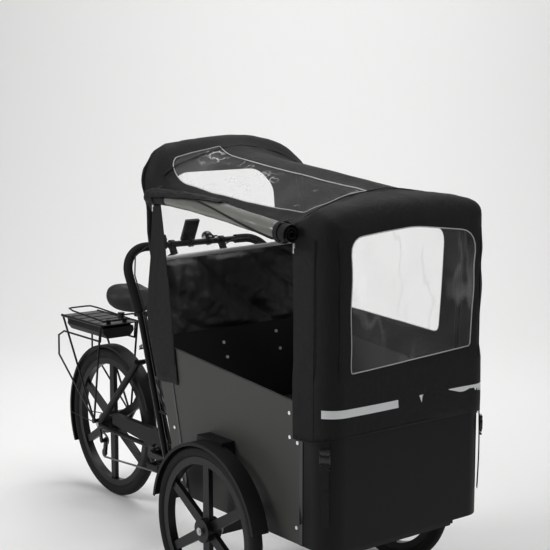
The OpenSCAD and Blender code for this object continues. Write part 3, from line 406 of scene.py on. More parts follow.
def thickened(piece, thickness, offset=0.0):
    add_modifier(piece, "SOLIDIFY", thickness=thickness, offset=offset)
    return piece


def direction_at(points, i):
    return (points[min(i + 1, len(points) - 1)] - points[max(i - 1, 0)]).normalized()


def tube(bm, points, radius, sides):
    """Adds a closed tube along the points."""
    rings = []
    up_last = None
    for i, p in enumerate(points):
        ahead = direction_at(points, i)
        side = ahead.cross(Vector((0, 0, 1))) if up_last is None else ahead.cross(up_last)
        if side.length < 1e-4:
            side = ahead.cross(Vector((0, 1, 0)))
        side.normalize()
        up = side.cross(ahead).normalized()
        up_last = up
        ring = bmesh.ops.create_circle(bm, segments=sides, radius=radius)["verts"]
        for v in ring:
            v.co = p + side * v.co.x + up * v.co.y
        rings.append(ring)
    join_rows(bm, rings, closed=True)
    close_ends(bm, rings)


def along_ring(centre, angle, reach):
    """A point round a line that runs along the box."""
    return centre + Vector((0, math.cos(angle) * reach, math.sin(angle) * reach))


# %% [markdown]
# ## The rain tent's skin
# The tent is one sewn skin hung over two bows: a high one behind the passengers and a lower one
# in front. The cloth stands proud over each bow and sags between them. It is drawn as rows of
# heights at stations along the box. A grid is bent onto those rows, rolled round the front
# corners, and closed by the flat front. Windows and the door are then cut by planes, so their
# edges are clean, and the cut-out faces become the clear film.

# %% Heights of the roof
_, tent_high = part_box("canopy")
SIDE_Y, NOSE_X = tent_high.y, tent_high.x
CORNER = 0.080                       # radius of the two front corners
CORNER_X, CORNER_Y = 1.054, 0.291    # where the corners' centres stand
REAR_X = 0.086                       # the skin's rear edge
EAVE_Y = 0.371                       # half width at the eaves
BREADTHS = (0.0, 0.075, 0.175, 0.285, 0.340, 0.371)
ROOF_ROWS = (
    (0.086, (1.650, 1.646, 1.620, 1.588, 1.560, 1.500)),
    (0.105, (1.657, 1.653, 1.627, 1.592, 1.564, 1.503)),
    (0.130, (1.651, 1.645, 1.617, 1.580, 1.549, 1.488)),
    (0.165, (1.618, 1.609, 1.579, 1.535, 1.503, 1.462)),
    (0.230, (1.594, 1.584, 1.552, 1.501, 1.470, 1.444)),
    (0.415, (1.574, 1.561, 1.528, 1.473, 1.444, 1.425)),
    (0.600, (1.557, 1.541, 1.510, 1.456, 1.430, 1.411)),
    (0.750, (1.542, 1.524, 1.496, 1.444, 1.418, 1.399)),
    (0.920, (1.522, 1.504, 1.480, 1.435, 1.411, 1.390)),
    (0.990, (1.502, 1.496, 1.482, 1.452, 1.430, 1.404)),
    (1.040, (1.489, 1.487, 1.483, 1.472, 1.458, 1.428)),
    (1.054, (1.486, 1.485, 1.482, 1.473, 1.460, 1.430)),
)


CREST_LIFT_RIGHT = ((0.06, 0.0), (0.175, 0.018), (0.285, 0.040), (0.340, 0.040), (0.371, 0.034))
CREST_LIFT_LEFT = ((0.06, 0.0), (0.20, 0.018), (0.285, 0.012), (0.340, -0.006), (0.371, -0.010))
HEM = ((0.086, 0.745), (0.26, 0.756), (0.94, 0.700), (1.05, 0.700), (1.14, 0.722))


def roof_height(x, y):
    rows = [(station, table_at(list(zip(BREADTHS, heights)), abs(y)))
            for station, heights in ROOF_ROWS]
    lift = table_at(CREST_LIFT_RIGHT, -y) if y < 0 else table_at(CREST_LIFT_LEFT, y)
    return table_at(rows, x) + lift * eased((0.215 - x) / 0.075)


def hem_height(x):
    return table_at(HEM, x)


# %% Outline of the skin at one station
WALL_STEPS = 26
EAVE = ((0.371, -0.070), (0.3705, -0.035), (0.368, -0.008))
OVER = (0.360, 0.350, 0.340, 0.325, 0.305, 0.285, 0.255, 0.215, 0.175, 0.140, 0.105, 0.075, 0.045,
        0.020, 0.0)
REAR_PUFF_Z, FRONT_PUFF_Z = 1.490, 1.400


def puff_share(y, z, puff_z):
    """Share of the shoulder's outward bulge that falls at height z and half width y."""
    return math.exp(-((z - puff_z) / 0.062) ** 2) * eased((y - 0.25) / 0.1)


def outline(x, side=1):
    """Half outline from the hem up to the ridge, as (y, z); side is 1 for left, -1 for right."""
    eave = roof_height(x, EAVE_Y * side)
    half = []
    hem = hem_height(x)
    for k in range(WALL_STEPS):
        half.append((SIDE_Y, mixed(hem, eave - 0.10, k / WALL_STEPS)))
    for y, drop in EAVE:
        half.append((y - 0.0004, eave + drop - 0.006))
    for y in OVER:
        half.append((y, roof_height(x, y * side)))
    puff_z = REAR_PUFF_Z if x < 0.5 else FRONT_PUFF_Z
    puff = 0.024 * eased((0.20 - x) / 0.09) + 0.010 * eased((x - 0.90) / 0.10)
    return [(y + puff * puff_share(y, z, puff_z), z) for y, z in half]


def inset_outline(half, depth):
    """The half outline moved inwards by depth, across its own direction."""
    moved = []
    for i, (y, z) in enumerate(half):
        y0, z0 = half[max(i - 1, 0)]
        y1, z1 = half[min(i + 1, len(half) - 1)]
        along = Vector((y1 - y0, z1 - z0)).normalized()
        inward = Vector((-along.y, along.x))
        if y == 0.0:
            inward = Vector((0.0, -1.0))
        if y >= SIDE_Y - 1e-6 and i < WALL_STEPS:
            inward = Vector((-1.0, 0.0))
        moved.append((max(y + inward.x * depth, 0.0), z + inward.y * depth))
    return moved


def ripple(p, size, seed):
    return noise.noise(Vector((p.x * size + seed, p.y * size, p.z * size * 0.55)))


def whole_ring(x, left, right):
    """The two half outlines as one row of points, left hem to right hem."""
    return [(x, y, z) for y, z in left] + [(x, -y, z) for y, z in right[-2::-1]]


def roof_rings():
    stations = [REAR_X + 0.012 * k for k in range(9)]
    stations += [0.19 + (1.0 - 0.19) * k / 46 for k in range(1, 47)] + [1.018, 1.036, CORNER_X]
    return [whole_ring(x, outline(x), outline(x, -1)) for x in stations]


def corner_rings(steps=8):
    base = outline(CORNER_X)
    rings = []
    for k in range(1, steps + 1):
        turn = math.pi / 2 * k / steps
        half = inset_outline(base, CORNER * (1 - math.cos(turn)))
        x = CORNER_X + (NOSE_X - CORNER_X) * math.sin(turn)
        rise = hem_height(x) - base[0][1]
        half = [(y, z + rise * (1 - i / WALL_STEPS) if i < WALL_STEPS else z)
                for i, (y, z) in enumerate(half)]
        rings.append(whole_ring(x, half, half))
    return rings


def close_front(bm, last, across=28):
    """Fills the flat front between the left and right halves of the last ring."""
    previous = None
    for i in range(len(last) // 2):
        left, right = last[i], last[len(last) - 1 - i]
        row = [left]
        for k in range(1, across):
            row.append(bm.verts.new(left.co.lerp(right.co, k / across)))
        row.append(right)
        if previous:
            join_rows(bm, [previous, row])
        previous = row
    apex = last[len(last) // 2]
    for k in range(across):
        bm.faces.new((previous[k], previous[k + 1], apex))


def soften(bm, times, chosen):
    verts = [v for v in bm.verts if chosen(v.co)]
    for _ in range(times):
        bmesh.ops.smooth_vert(bm, verts=verts, factor=0.5,
                              use_axis_x=True, use_axis_y=True, use_axis_z=True)


def tent_grid():
    """The skin as a bmesh: rows from the rear bow forward, round the corners to the flat front."""
    bm = bmesh.new()
    rows = [[bm.verts.new(point) for point in ring] for ring in roof_rings() + corner_rings()]
    join_rows(bm, rows)
    close_front(bm, rows[-1])
    bmesh.ops.remove_doubles(bm, verts=bm.verts[:], dist=0.0002)
    bmesh.ops.recalc_face_normals(bm, faces=bm.faces[:])
    soften(bm, 14, lambda p: p.x > 1.045 and p.z > 1.30)
    soften(bm, 7, lambda p: p.x < 0.25 and p.z > 1.40)
    return bm


skin = tent_grid()
print("tent skin", len(skin.verts), "points")


# %% [markdown]
# ### Cutting the windows and the door
# `bisect_plane` slices the skin along each edge of a window's outline. Afterwards every face
# lies wholly inside or outside, and the inside ones are lifted off as a separate mesh.

# %% Cut a many-sided hole
def cut_hole(bm, corners, plane, chosen):
    """Cuts a convex outline (in the plane 'yz', 'xy' or 'xz') into the chosen faces and returns
    the faces inside it."""
    a, b = ("xyz".index(axis) for axis in plane)
    area = sum(p[0] * q[1] - q[0] * p[1] for p, q in zip(corners, corners[1:] + corners[:1]))
    if area < 0:
        corners = corners[::-1]
    sides = list(zip(corners, corners[1:] + corners[:1]))
    for p, q in sides:
        faces = [f for f in bm.faces if chosen(f)]
        geometry = set(faces)
        for f in faces:
            geometry.update(f.edges)
            geometry.update(f.verts)
        point, outward = Vector((0, 0, 0)), Vector((0, 0, 0))
        point[a], point[b] = p
        outward[a], outward[b] = q[1] - p[1], p[0] - q[0]
        bmesh.ops.bisect_plane(bm, geom=list(geometry), dist=1e-5, plane_co=point,
                               plane_no=outward)

    def is_inside(c):
        return all((q[0] - p[0]) * (c[b] - p[1]) - (q[1] - p[1]) * (c[a] - p[0]) > 0
                   for p, q in sides)
    return [f for f in bm.faces if chosen(f) and is_inside(f.calc_center_median())]


def rounded(corners, radii, steps=5):
    """The outline with its corners rounded, each by its own radius."""
    out = []
    for i, (corner, r) in enumerate(zip(corners, radii)):
        here = Vector(corner)
        before = Vector(corners[i - 1]) - here
        after = Vector(corners[(i + 1) % len(corners)]) - here
        start, end = here + before.normalized() * r, here + after.normalized() * r
        for k in range(steps + 1):
            t = k / steps
            out.append(tuple((1 - t) ** 2 * start + 2 * t * (1 - t) * here + t * t * end))
    return out


def lift_off(bm, faces):
    """Takes the faces out of bm and returns them as a new bmesh."""
    keep = set(faces)
    new = bm.copy()
    bm.faces.ensure_lookup_table()
    new.faces.ensure_lookup_table()
    outside = [new.faces[f.index] for f in bm.faces if f not in keep]
    bmesh.ops.delete(new, geom=outside, context="FACES")
    bmesh.ops.delete(bm, geom=list(keep), context="FACES")
    return new


def border_paths(bm):
    """The open borders of a mesh, as lists of points."""
    left = {e for e in bm.edges if e.is_boundary}
    paths = []
    while left:
        edge = left.pop()
        start, here = edge.verts
        path = [start.co.copy(), here.co.copy()]
        while True:
            step = next((e for e in here.link_edges if e in left), None)
            if step is None:
                break
            left.discard(step)
            here = step.other_vert(here)
            path.append(here.co.copy())
        paths.append(path)
    return paths


# %% Openings of the skin
def front_faces(f):
    return f.calc_center_median().x > NOSE_X - 0.03 and abs(f.normal.x) > 0.5


def roof_faces(f):
    return f.normal.z > 0.45 and f.calc_center_median().x < 1.02


def left_faces(f):
    return f.calc_center_median().y > 0.355 and f.calc_center_median().x < 1.06


def right_faces(f):
    return f.calc_center_median().y < -0.330 and f.calc_center_median().x < 1.02


for f in skin.faces:
    f.normal_update()
if sum(f.normal.z for f in skin.faces if f.calc_center_median().z > 1.5) < 0:
    bmesh.ops.reverse_faces(skin, faces=skin.faces[:])

front_hole = rounded(
    [(-0.268, 0.930), (0.276, 0.955), (0.288, 1.352), (0.0, 1.386), (-0.272, 1.364)],
    [0.012, 0.012, 0.070, 0.05, 0.050])
roof_hole = rounded([(0.156, -0.306), (0.166, -0.086), (0.985, -0.078), (0.925, -0.290)],
                    [0.04, 0.006, 0.008, 0.012])
left_hole = rounded(
    [(0.235, 0.990), (0.886, 0.953), (0.899, 1.140), (0.908, 1.335), (0.215, 1.375)],
    [0.02, 0.03, 0.03, 0.05, 0.06])
for_film = {name: lift_off(skin, cut_hole(skin, hole, plane, chosen))
            for name, hole, plane, chosen in (("front", front_hole, "yz", front_faces),
                                              ("roof", roof_hole, "xy", roof_faces),
                                              ("left", left_hole, "xz", left_faces))}
door_hole = [(0.294, 0.50), (0.183, 1.406), (0.176, 1.448), (0.952, 1.366), (0.957, 1.22),
             (0.964, 0.50)]
lift_off(skin, cut_hole(skin, door_hole, "xz", right_faces)).free()
for back in ([(0.04, 0.60), (0.158, 0.60), (0.158, 0.742), (0.089, 0.95), (0.04, 0.95)],
             [(0.04, 1.06), (0.087, 1.06), (0.110, 1.20), (0.126, 1.375), (0.106, 1.40),
              (0.04, 1.41)]):
    lift_off(skin, cut_hole(skin, back, "xz", right_faces)).free()
print("films", {k: len(v.faces) for k, v in for_film.items()})


# %% [markdown]
# ### Wrinkles, and the cloth's own thickness
# Cloth under tension wrinkles in long soft folds. The folds are noise a few millimetres high,
# with extra on the roof, the nose and the lower walls. The films are moved by the same noise, so
# their borders stay on the skin. Close over the box the cloth only moves outwards.

# %% Wrinkle the skin and keep the films in step with it
SKIN_THICK, FILM_THICK, LINING_THICK, TAPE_THICK = 0.0014, 0.0006, 0.0010, 0.0016
ROLLED_THICK, BINDING_THICK, FLAP_THICK = 0.0009, 0.0018, 0.0016


def cloth_shift(p, normal):
    """How far a point of the skin moves along its normal, in metres."""
    folds = ripple(Vector((p.x * 1.6, p.y * 2.2, p.z)), 5.0, 3.1)
    small = ripple(p, 17.0, 9.7)
    lower = eased((1.05 - p.z) / 0.4)
    amount = 0.0030 * folds + 0.0012 * small + 0.0022 * lower * ripple(p, 8.0, 21.0)
    roof = eased((p.z - 1.32) / 0.12)
    amount += roof * 0.0052 * noise.noise(Vector((p.x * 2.5, p.y * 14.0, 5.0)))
    nose = eased((p.x - 1.02) / 0.10)
    amount += nose * 0.0060 * noise.noise(Vector((p.x * 3.0, p.y * 4.0 + p.z * 5.0, p.z * 9.0)))
    on_box = eased((0.96 - p.z) / 0.06)
    return normal * mixed(amount - 0.0042, max(amount, 0.0) * 0.6 + 0.0004, on_box)


def shift_all(bm):
    bm.normal_update()
    moves = [(v, cloth_shift(v.co, v.normal)) for v in bm.verts]
    for v, move in moves:
        v.co += move


def film_shift(bm, seed, bulge):
    bm.normal_update()
    for v in bm.verts:
        v.co += v.normal * (noise.noise(v.co * 4.0 + Vector((seed, 0, 0))) * bulge)


shift_all(skin)
tent = finish_piece("tent_skin", skin, tent_cloth, "carrier", replaces=("canopy",))
thickened(tent, SKIN_THICK, -1.0)

# %% The clear films and the welts round them
WELT_RADIUS = 0.0021
welt = bmesh.new()
for name, film in for_film.items():
    shift_all(film)
    for path in border_paths(film):
        tube(welt, path, WELT_RADIUS, 6)
    film_shift(film, len(name) * 1.7, 0.002)
    piece = finish_piece("film_" + name, film, roof_film if name == "roof" else clear_film,
                         "carrier",
                         replaces=("tent_windows",) if name == "front" else ())
    thickened(piece, FILM_THICK)
finish_piece("window_welts", welt, white_welt, "carrier")


# %% [markdown]
# ### Rear sheet
# Behind the passengers a sheet climbs from the box's back panel to the crest: dark cloth below,
# a pale zip tape, then a clear window. The lower cloth is slack and creases strongly.

# %% Rear sheet
REAR_LEAN = ((0.90, 0.207), (1.232, 0.108), (1.30, 0.0935), (1.66, 0.0935))


def rear_rows(low, high, rows, columns, half_width):
    """A sheet across the tent; low and high give its edges' heights at y."""
    bm = bmesh.new()
    grid = []
    for i in range(rows + 1):
        row = []
        for k in range(columns + 1):
            y = mixed(-half_width, half_width, k / columns)
            z = mixed(low(y), high(y), i / rows)
            row.append(bm.verts.new((table_at(REAR_LEAN, z), y, z)))
        grid.append(row)
    join_rows(bm, grid, flipped=True)
    bm.normal_update()
    return bm


def tape_height(y):
    return 1.188 + 0.030 * (y + 0.33)


APRON_FOOT, APRON_HALF, TAPE_HALF, GABLE_HALF = 0.910, 0.332, 0.336, 0.3685
apron = rear_rows(lambda y: APRON_FOOT, tape_height, 50, 90, APRON_HALF)
for v in apron.verts:
    inside = (eased((APRON_HALF - abs(v.co.y)) / 0.05) * eased((v.co.z - APRON_FOOT) / 0.04)
              * eased((tape_height(v.co.y) - v.co.z) / 0.02))
    slant = v.co.z * 2.0 + v.co.y * 1.4
    fold = abs(noise.noise(Vector((slant * 2.4, v.co.y * 1.7, 3.0)))) ** 0.7
    v.co.x += inside * (0.042 * fold + 0.014 * noise.noise(v.co * 13.0)
                        + 0.005 * noise.noise(v.co * 34.0))
rear_apron = finish_piece("rear_apron", apron, lining_cloth, "carrier")
thickened(rear_apron, LINING_THICK)

tape = rear_rows(lambda y: tape_height(y) + 0.0002, lambda y: tape_height(y) + 0.0160,
                 2, 90, TAPE_HALF)
rear_tape = finish_piece("rear_zip_tape", tape, zip_white, "carrier")
thickened(rear_tape, TAPE_THICK)

gable = rear_rows(lambda y: tape_height(y) + 0.0162, lambda y: roof_height(0.095, y) - 0.007,
                  40, 60, GABLE_HALF)
for v in gable.verts:
    v.co.y += math.copysign(0.022 * puff_share(abs(v.co.y), v.co.z, REAR_PUFF_Z), v.co.y)
gable_hole = rounded(
    [(-0.334, 1.150), (0.250, 1.150), (0.224, 1.440), (0.150, 1.515), (-0.22, 1.512),
     (-0.332, 1.39)], [0.02, 0.02, 0.03, 0.05, 0.04, 0.04])
rear_film = lift_off(gable, cut_hole(gable, gable_hole, "yz", lambda f: True))
rear_gable = finish_piece("rear_gable", gable, lining_cloth, "carrier")
thickened(rear_gable, LINING_THICK)
film_shift(rear_film, 8.0, 0.003)
film_rear = finish_piece("film_rear", rear_film, clear_film, "carrier")
thickened(film_rear, FILM_THICK)


# %% [markdown]
# ### The rolled-up door
# The door flap is rolled on itself and tied up under the eave: a spiral of grey film with black
# bindings at both ends. Its free edge winds slowly round the roll, with its binding drawn dark,
# and a rumpled layer of cloth lies over the rear half's upper side.

# %% Rolled door
ROLL_START, ROLL_END = 0.168, 1.000
ROLL_TURNS, ROLL_STEPS = 2.55, 110
TIES = (0.215, 0.955)
ROLL_Z = ((0.16, 1.438), (0.33, 1.436), (0.45, 1.431), (0.62, 1.417), (0.81, 1.393), (0.92, 1.381),
          (1.00, 1.375))


def roll_share(x):
    return (x - ROLL_START) / (ROLL_END - ROLL_START)


def roll_centre(x):
    t = roll_share(x)
    return Vector((x, -0.406 - 0.004 * math.sin(math.pi * t), table_at(ROLL_Z, x)))


def roll_radius(x):
    pinch = sum(math.exp(-((x - tie) / 0.012) ** 2) for tie in TIES)
    return (0.026 + 0.009 * eased(roll_share(x) * 1.8)) * (1 - 0.14 * pinch)


def roll_point(x, t, extra=0.0):
    """t runs 0..1 along the spiral from the core to the free edge."""
    last = math.radians(75 + 150 * roll_share(x))
    angle = last - (1 - t) * ROLL_TURNS * 2 * math.pi
    reach = roll_radius(x) * (0.20 + 0.80 * t) + extra
    rumple = Vector((x * 16, math.cos(angle) * 2, math.sin(angle) * 2 + t * 4))
    return along_ring(roll_centre(x), angle, reach + 0.0016 * noise.noise(rumple))


def roll_part(x0, x1, steps):
    bm = bmesh.new()
    join_rows(bm, [[bm.verts.new(roll_point(mixed(x0, x1, i / steps), k / ROLL_STEPS))
                    for k in range(ROLL_STEPS + 1)] for i in range(steps + 1)])
    bm.normal_update()
    return bm


door_roll = finish_piece("rolled_door_film", roll_part(0.300, 0.958, 66), rolled_film,
                         "carrier", replaces=("rolled_window",))
thickened(door_roll, ROLLED_THICK)
for name, x0, x1, width, girth in (("rear", 0.166, 0.301, 0.135, 0.27),
                                   ("front", 0.957, 1.000, 0.043, 0.35)):
    edge = finish_piece("rolled_door_binding_" + name, roll_part(x0, x1, 10), tent_cloth,
                        "carrier")
    thickened(edge, BINDING_THICK)


def flap_point(x, angle):
    """A rumpled layer of cloth lying over the roll's upper side."""
    p = Vector((x * 22, math.cos(angle) * 2.2, math.sin(angle) * 2.2))
    reach = roll_radius(x) + 0.0058 + 0.0040 * noise.noise(p) + 0.0016 * noise.noise(p * 2.7)
    return along_ring(roll_centre(x), angle, reach)


FLAP_LONG, FLAP_ROUND = 48, 24
flap = bmesh.new()
flap_rows = []
for i in range(FLAP_LONG + 1):
    x, last = mixed(0.186, 0.640, i / FLAP_LONG), mixed(178, 118, i / FLAP_LONG)
    flap_rows.append([flap.verts.new(flap_point(x, math.radians(mixed(60, last, k / FLAP_ROUND))))
                      for k in range(FLAP_ROUND + 1)])
join_rows(flap, flap_rows)
flap.normal_update()
door_flap = finish_piece("rolled_door_flap", flap, tent_cloth, "carrier")
thickened(door_flap, FLAP_THICK)

bindings = bmesh.new()
tube(bindings, [roll_point(mixed(0.20, 0.975, k / 40), 1.0, 0.002) for k in range(41)], 0.0034, 8)
tube(bindings, [roll_point(0.957, k / 80, 0.0012) for k in range(81)], 0.0017, 6)
finish_piece("rolled_door_edge", bindings, tent_cloth, "carrier")


# %% [markdown]
# ### Webbing, band and hardware
# Webbing is drawn directly as a flat strap: a rectangle carried along a path, turned so that its
# broad side faces out.

# %% Straps
STRAP_SECTION = ((1, 1), (0.9, 1.15), (-0.9, 1.15), (-1, 1), (-1, -1), (1, -1))
BELT_WIDTH, BELT_THICK = 0.025, 0.0015


def strap(bm, points, faces_out, width, thick):
    """A flat strap through the points; faces_out is the direction of its broad side at each."""
    rings = []
    for i, p in enumerate(points):
        ahead = direction_at(points, i)
        out = faces_out[i] if isinstance(faces_out, list) else faces_out
        out = (out - ahead * out.dot(ahead)).normalized()
        side = ahead.cross(out).normalized()
        rings.append([bm.verts.new(p + side * (width / 2 * a) + out * (thick / 2 * b))
                      for a, b in STRAP_SECTION])
    join_rows(bm, rings, closed=True)
    close_ends(bm, rings)


def corner_foot(side, proud):
    """Direction out of a front corner, and the point that stands proud of its centre line."""
    turn = math.radians(40)
    out = Vector((math.sin(turn), side * math.cos(turn), 0))
    return out, Vector((CORNER_X, side * CORNER_Y, 0)) + out * proud


def hanging(foot, out, heights, count, gap):
    """Points from one height to the other, gap(k) away from the foot's line."""
    return [foot + out * gap(k) + Vector((0, 0, mixed(*heights, k / count)))
            for k in range(count + 1)]


def belt_gap(k):
    return 0.0012 + 0.004 * math.sin(math.pi * k / 14)


def loop_gap(k):
    return 0.010 + 0.003 * math.sin(k * 0.9)


webs = bmesh.new()
for x in TIES:
    ring, outs = [], []
    for k in range(0, 37):
        angle = math.radians(100 - k * 10)
        ring.append(along_ring(roll_centre(x), angle, roll_radius(x) * 1.04 + 0.004))
        outs.append(Vector((0, math.cos(angle), math.sin(angle))))
    ring.insert(0, roll_centre(x) + Vector((0, 0.026, 0.040)))
    outs.insert(0, Vector((0, -1, 0)))
    strap(webs, ring, outs, 0.020, 0.0014)
for side, heights, count, gap in ((-1, (0.748, 0.430), 14, belt_gap),
                                  (-1, (0.655, 0.560), 8, loop_gap),
                                  (1, (0.748, 0.430), 14, belt_gap)):
    out, foot = corner_foot(side, 0.0765)
    strap(webs, hanging(foot, out, heights, count, gap), out, BELT_WIDTH, BELT_THICK)
finish_piece("tent_webbing", webs, webbing, "carrier", smooth=False,
             replaces=("tent_straps",))


# %% Boxes with soft edges, for buckles and zip pulls
def soft_box(bm, centre, size, turn, round_by, segments=2):
    made = bmesh.ops.create_cube(bm, size=1.0)
    verts = made["verts"]
    edges = list({e for v in verts for e in v.link_edges})
    for v in verts:
        v.co = Vector((v.co.x * size[0], v.co.y * size[1], v.co.z * size[2]))
    out = bmesh.ops.bevel(bm, geom=edges, offset=round_by, segments=segments, profile=0.5,
                          affect="EDGES", material=-1)
    verts = list({v for f in out["faces"] for v in f.verts} | {v for v in verts if v.is_valid})
    for v in verts:
        v.co = (turn @ v.co if turn else v.co) + Vector(centre)


BUCKLE_PARTS = ((0.684, (0.034, 0.009, 0.020)), (0.661, (0.030, 0.008, 0.026)),
                (0.640, (0.034, 0.007, 0.006)), (0.628, (0.034, 0.007, 0.005)))
buckles = bmesh.new()
for s in (-1, 1):
    out, foot = corner_foot(s, 0.086)
    side = Vector((0, 0, 1)).cross(out)
    facing = Matrix((side, out, Vector((0, 0, 1)))).transposed()
    for height, size in BUCKLE_PARTS:
        soft_box(buckles, foot + Vector((0, 0, height)), size, facing, 0.0016)
    for shift in (-0.0155, 0.0155):
        soft_box(buckles, foot + side * shift + Vector((0, 0, 0.662)), (0.005, 0.010, 0.034),
                 facing, 0.0015)
finish_piece("corner_buckles", buckles, plastic_gloss, "carrier")

BAND_Z, BAND_OUT, BAND_FRONT = 0.804, 0.0815, 1.1353
band = bmesh.new()
band_path = []
for k in range(13):
    turn = math.radians(mixed(30, 90, k / 12))
    band_path.append((Vector((CORNER_X + BAND_OUT * math.sin(turn),
                              -CORNER_Y - BAND_OUT * math.cos(turn), BAND_Z)),
                      Vector((math.sin(turn), -math.cos(turn), 0))))
for k in range(1, 24):
    y = mixed(-CORNER_Y, CORNER_Y, k / 24)
    band_path.append((Vector((BAND_FRONT, y, BAND_Z)), Vector((1, 0, 0))))
band_path += [(Vector((p.x, -p.y, p.z)), Vector((out.x, -out.y, 0)))
              for p, out in band_path[12::-1]]
strap(band, [p + Vector((0, 0, 0.0012 * math.sin(p.y * 11))) for p, _ in band_path],
      [out for _, out in band_path], 0.027, 0.0012)
finish_piece("reflective_tape", band, band_silver, "carrier", smooth=False,
             replaces=("reflective_band",))

metal = bmesh.new()
for x, z in ((0.150, 1.405), (0.975, 1.335)):
    soft_box(metal, (x, -0.378, z), (0.008, 0.004, 0.016), None, 0.001)
    soft_box(metal, (x, -0.380, z - 0.016), (0.005, 0.0025, 0.018), None, 0.001)
# The zip pulls use the steel with a painted glint.
finish_piece("zip_pulls", metal, bolt_steel_glint, "carrier")

# %% [markdown]
# ### Seams
# The skin is sewn from panels. A raised seam runs over the roof behind each bow, down the nose's
# corners and round the hem; each is a thin cord of the tent's own cloth.

# %% Seams of the skin
SEAM_OUT = 0.0795


def skin_side(s, turn, z):
    return Vector((CORNER_X + SEAM_OUT * math.sin(turn),
                   s * (CORNER_Y + SEAM_OUT * math.cos(turn)), z))


seams = bmesh.new()
for s in (-1, 1):
    for turn_degrees in (8, 72):
        turn = math.radians(turn_degrees)
        path = [skin_side(s, turn, mixed(0.712, 1.36, k / 20)) for k in range(21)]
        tube(seams, path, 0.0017, 6)
for x in (0.176, 0.988):
    across = [mixed(-0.345, 0.345, k / 40) for k in range(41)]
    tube(seams, [Vector((x, y, roof_height(x, y) - 0.0012)) for y in across], 0.0018, 6)
hem_path = [Vector((0.984, -0.3705, 0.704)), Vector((CORNER_X, -0.3705, 0.704))]
for k in range(1, 9):
    hem_path.append(skin_side(-1, math.pi / 2 * k / 8, mixed(0.704, 0.726, k / 8)))
hem_path += [Vector((1.1338, 0.0, 0.728)), *[Vector((p.x, -p.y, p.z)) for p in hem_path[::-1]]]
tube(seams, hem_path, 0.0030, 6)
finish_piece("tent_seams", seams, tent_cloth, "carrier")


# %% [markdown]
# ## Padding
# The bench cushion and the saddle are blown up a little from a plain start shape, the way foam
# fills its cover. The cover is remeshed, inflated for twenty frames of cloth without gravity, and
# smoothed.

# %% Inflate a cover
CLOTH_FRAMES = 20


def evaluated(piece):
    return piece.evaluated_get(bpy.context.evaluated_depsgraph_get())


def remeshed(piece, voxel):
    """Gives the piece an even mesh with its old finish."""
    remesh = add_modifier(piece, "REMESH", mode="VOXEL", voxel_size=voxel)
    mesh = bpy.data.meshes.new_from_object(evaluated(piece))
    old, piece.data = piece.data, mesh
    piece.modifiers.remove(remesh)
    mesh.materials.clear()
    mesh.materials.append(old.materials[0])
    return mesh


def blown_points(piece, pressure):
    """Where cloth under pressure carries the piece's vertices."""
    cloth = add_modifier(piece, "CLOTH")
    cloth.settings.use_pressure = True
    cloth.settings.uniform_pressure_force = pressure
    cloth.settings.effector_weights.gravity = 0.0
    cloth.point_cache.frame_start, cloth.point_cache.frame_end = 1, CLOTH_FRAMES
    for frame_number in range(1, CLOTH_FRAMES + 1):
        bpy.context.scene.frame_set(frame_number)
    moved = [v.co.copy() for v in evaluated(piece).data.vertices]
    piece.modifiers.remove(cloth)
    bpy.context.scene.frame_set(1)
    return moved


def inflate(piece, voxel, pressure, cap):
    """Remeshes and blows up a cover; no point moves further than cap, in metres."""
    bpy.context.view_layer.objects.active = piece
    mesh = remeshed(piece, voxel)
    rest = [v.co.copy() for v in mesh.vertices]
    for v, a, b in zip(mesh.vertices, rest, blown_points(piece, pressure)):
        step = b - a
        v.co = a + step * min(1.0, cap / max(step.length, 1e-9))
    for face in mesh.polygons:
        face.use_smooth = True
    add_modifier(piece, "SUBSURF", levels=1, render_levels=1)


COVER_PRESSURE, COVER_CAP = 4.0, 0.006
cushion_low, cushion_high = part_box("bench_cushion")
start = bmesh.new()
soft_box(start, (cushion_low + cushion_high) / 2,
         cushion_high - cushion_low - Vector((0.012, 0.012, 0.014)), None, 0.012, 3)
cushion = finish_piece("cushion_cover", start, cushion_cloth, "carrier",
                       replaces=("bench_cushion",))
inflate(cushion, 0.006, COVER_PRESSURE, COVER_CAP)

# Stations of the saddle from tail to nose: (share of length, half width, height)
SADDLE = ((0.0, 0.052, 0.022), (0.05, 0.086, 0.036), (0.18, 0.106, 0.048), (0.36, 0.096, 0.050),
          (0.55, 0.060, 0.046), (0.75, 0.040, 0.040), (0.92, 0.032, 0.034), (1.0, 0.022, 0.020))
SADDLE_SIDES = 24
saddle_low, saddle_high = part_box("saddle")


def saddle_point(x, top, half, tall, turn):
    """A point of a flattened ring, with a dip along the middle of its upper side."""
    flat = abs(math.cos(turn)) ** 0.75 * (1 if math.cos(turn) >= 0 else -1)
    rise = abs(math.sin(turn)) ** 0.8 * (1 if math.sin(turn) >= 0 else -1)
    dip = 0.006 * math.exp(-(flat * 3) ** 2) * (1 if rise > 0 else 0)
    return x, half * flat, top - tall + tall * rise - dip


start = bmesh.new()
rows = []
for t, half, tall in SADDLE:
    x = mixed(saddle_low.x + 0.010, saddle_high.x - 0.008, t)
    top = mixed(saddle_high.z + 0.004, saddle_high.z - 0.012, math.sin(math.pi * t))
    top -= 0.012 if t == 0 else 0
    rows.append([start.verts.new(saddle_point(x, top, half, tall, 2 * math.pi * k / SADDLE_SIDES))
                 for k in range(SADDLE_SIDES)])
join_rows(start, rows, closed=True, flipped=True)
start.faces.new(rows[0])
start.faces.new(rows[-1][::-1])
bmesh.ops.recalc_face_normals(start, faces=start.faces[:])
bmesh.ops.subdivide_edges(start, edges=start.edges[:], cuts=1, use_grid_fill=True, smooth=0.6)
saddle_cover = finish_piece("saddle_cover", start, saddle_skin, "seat",
                            replaces=("saddle",))
inflate(saddle_cover, 0.005, COVER_PRESSURE, COVER_CAP)

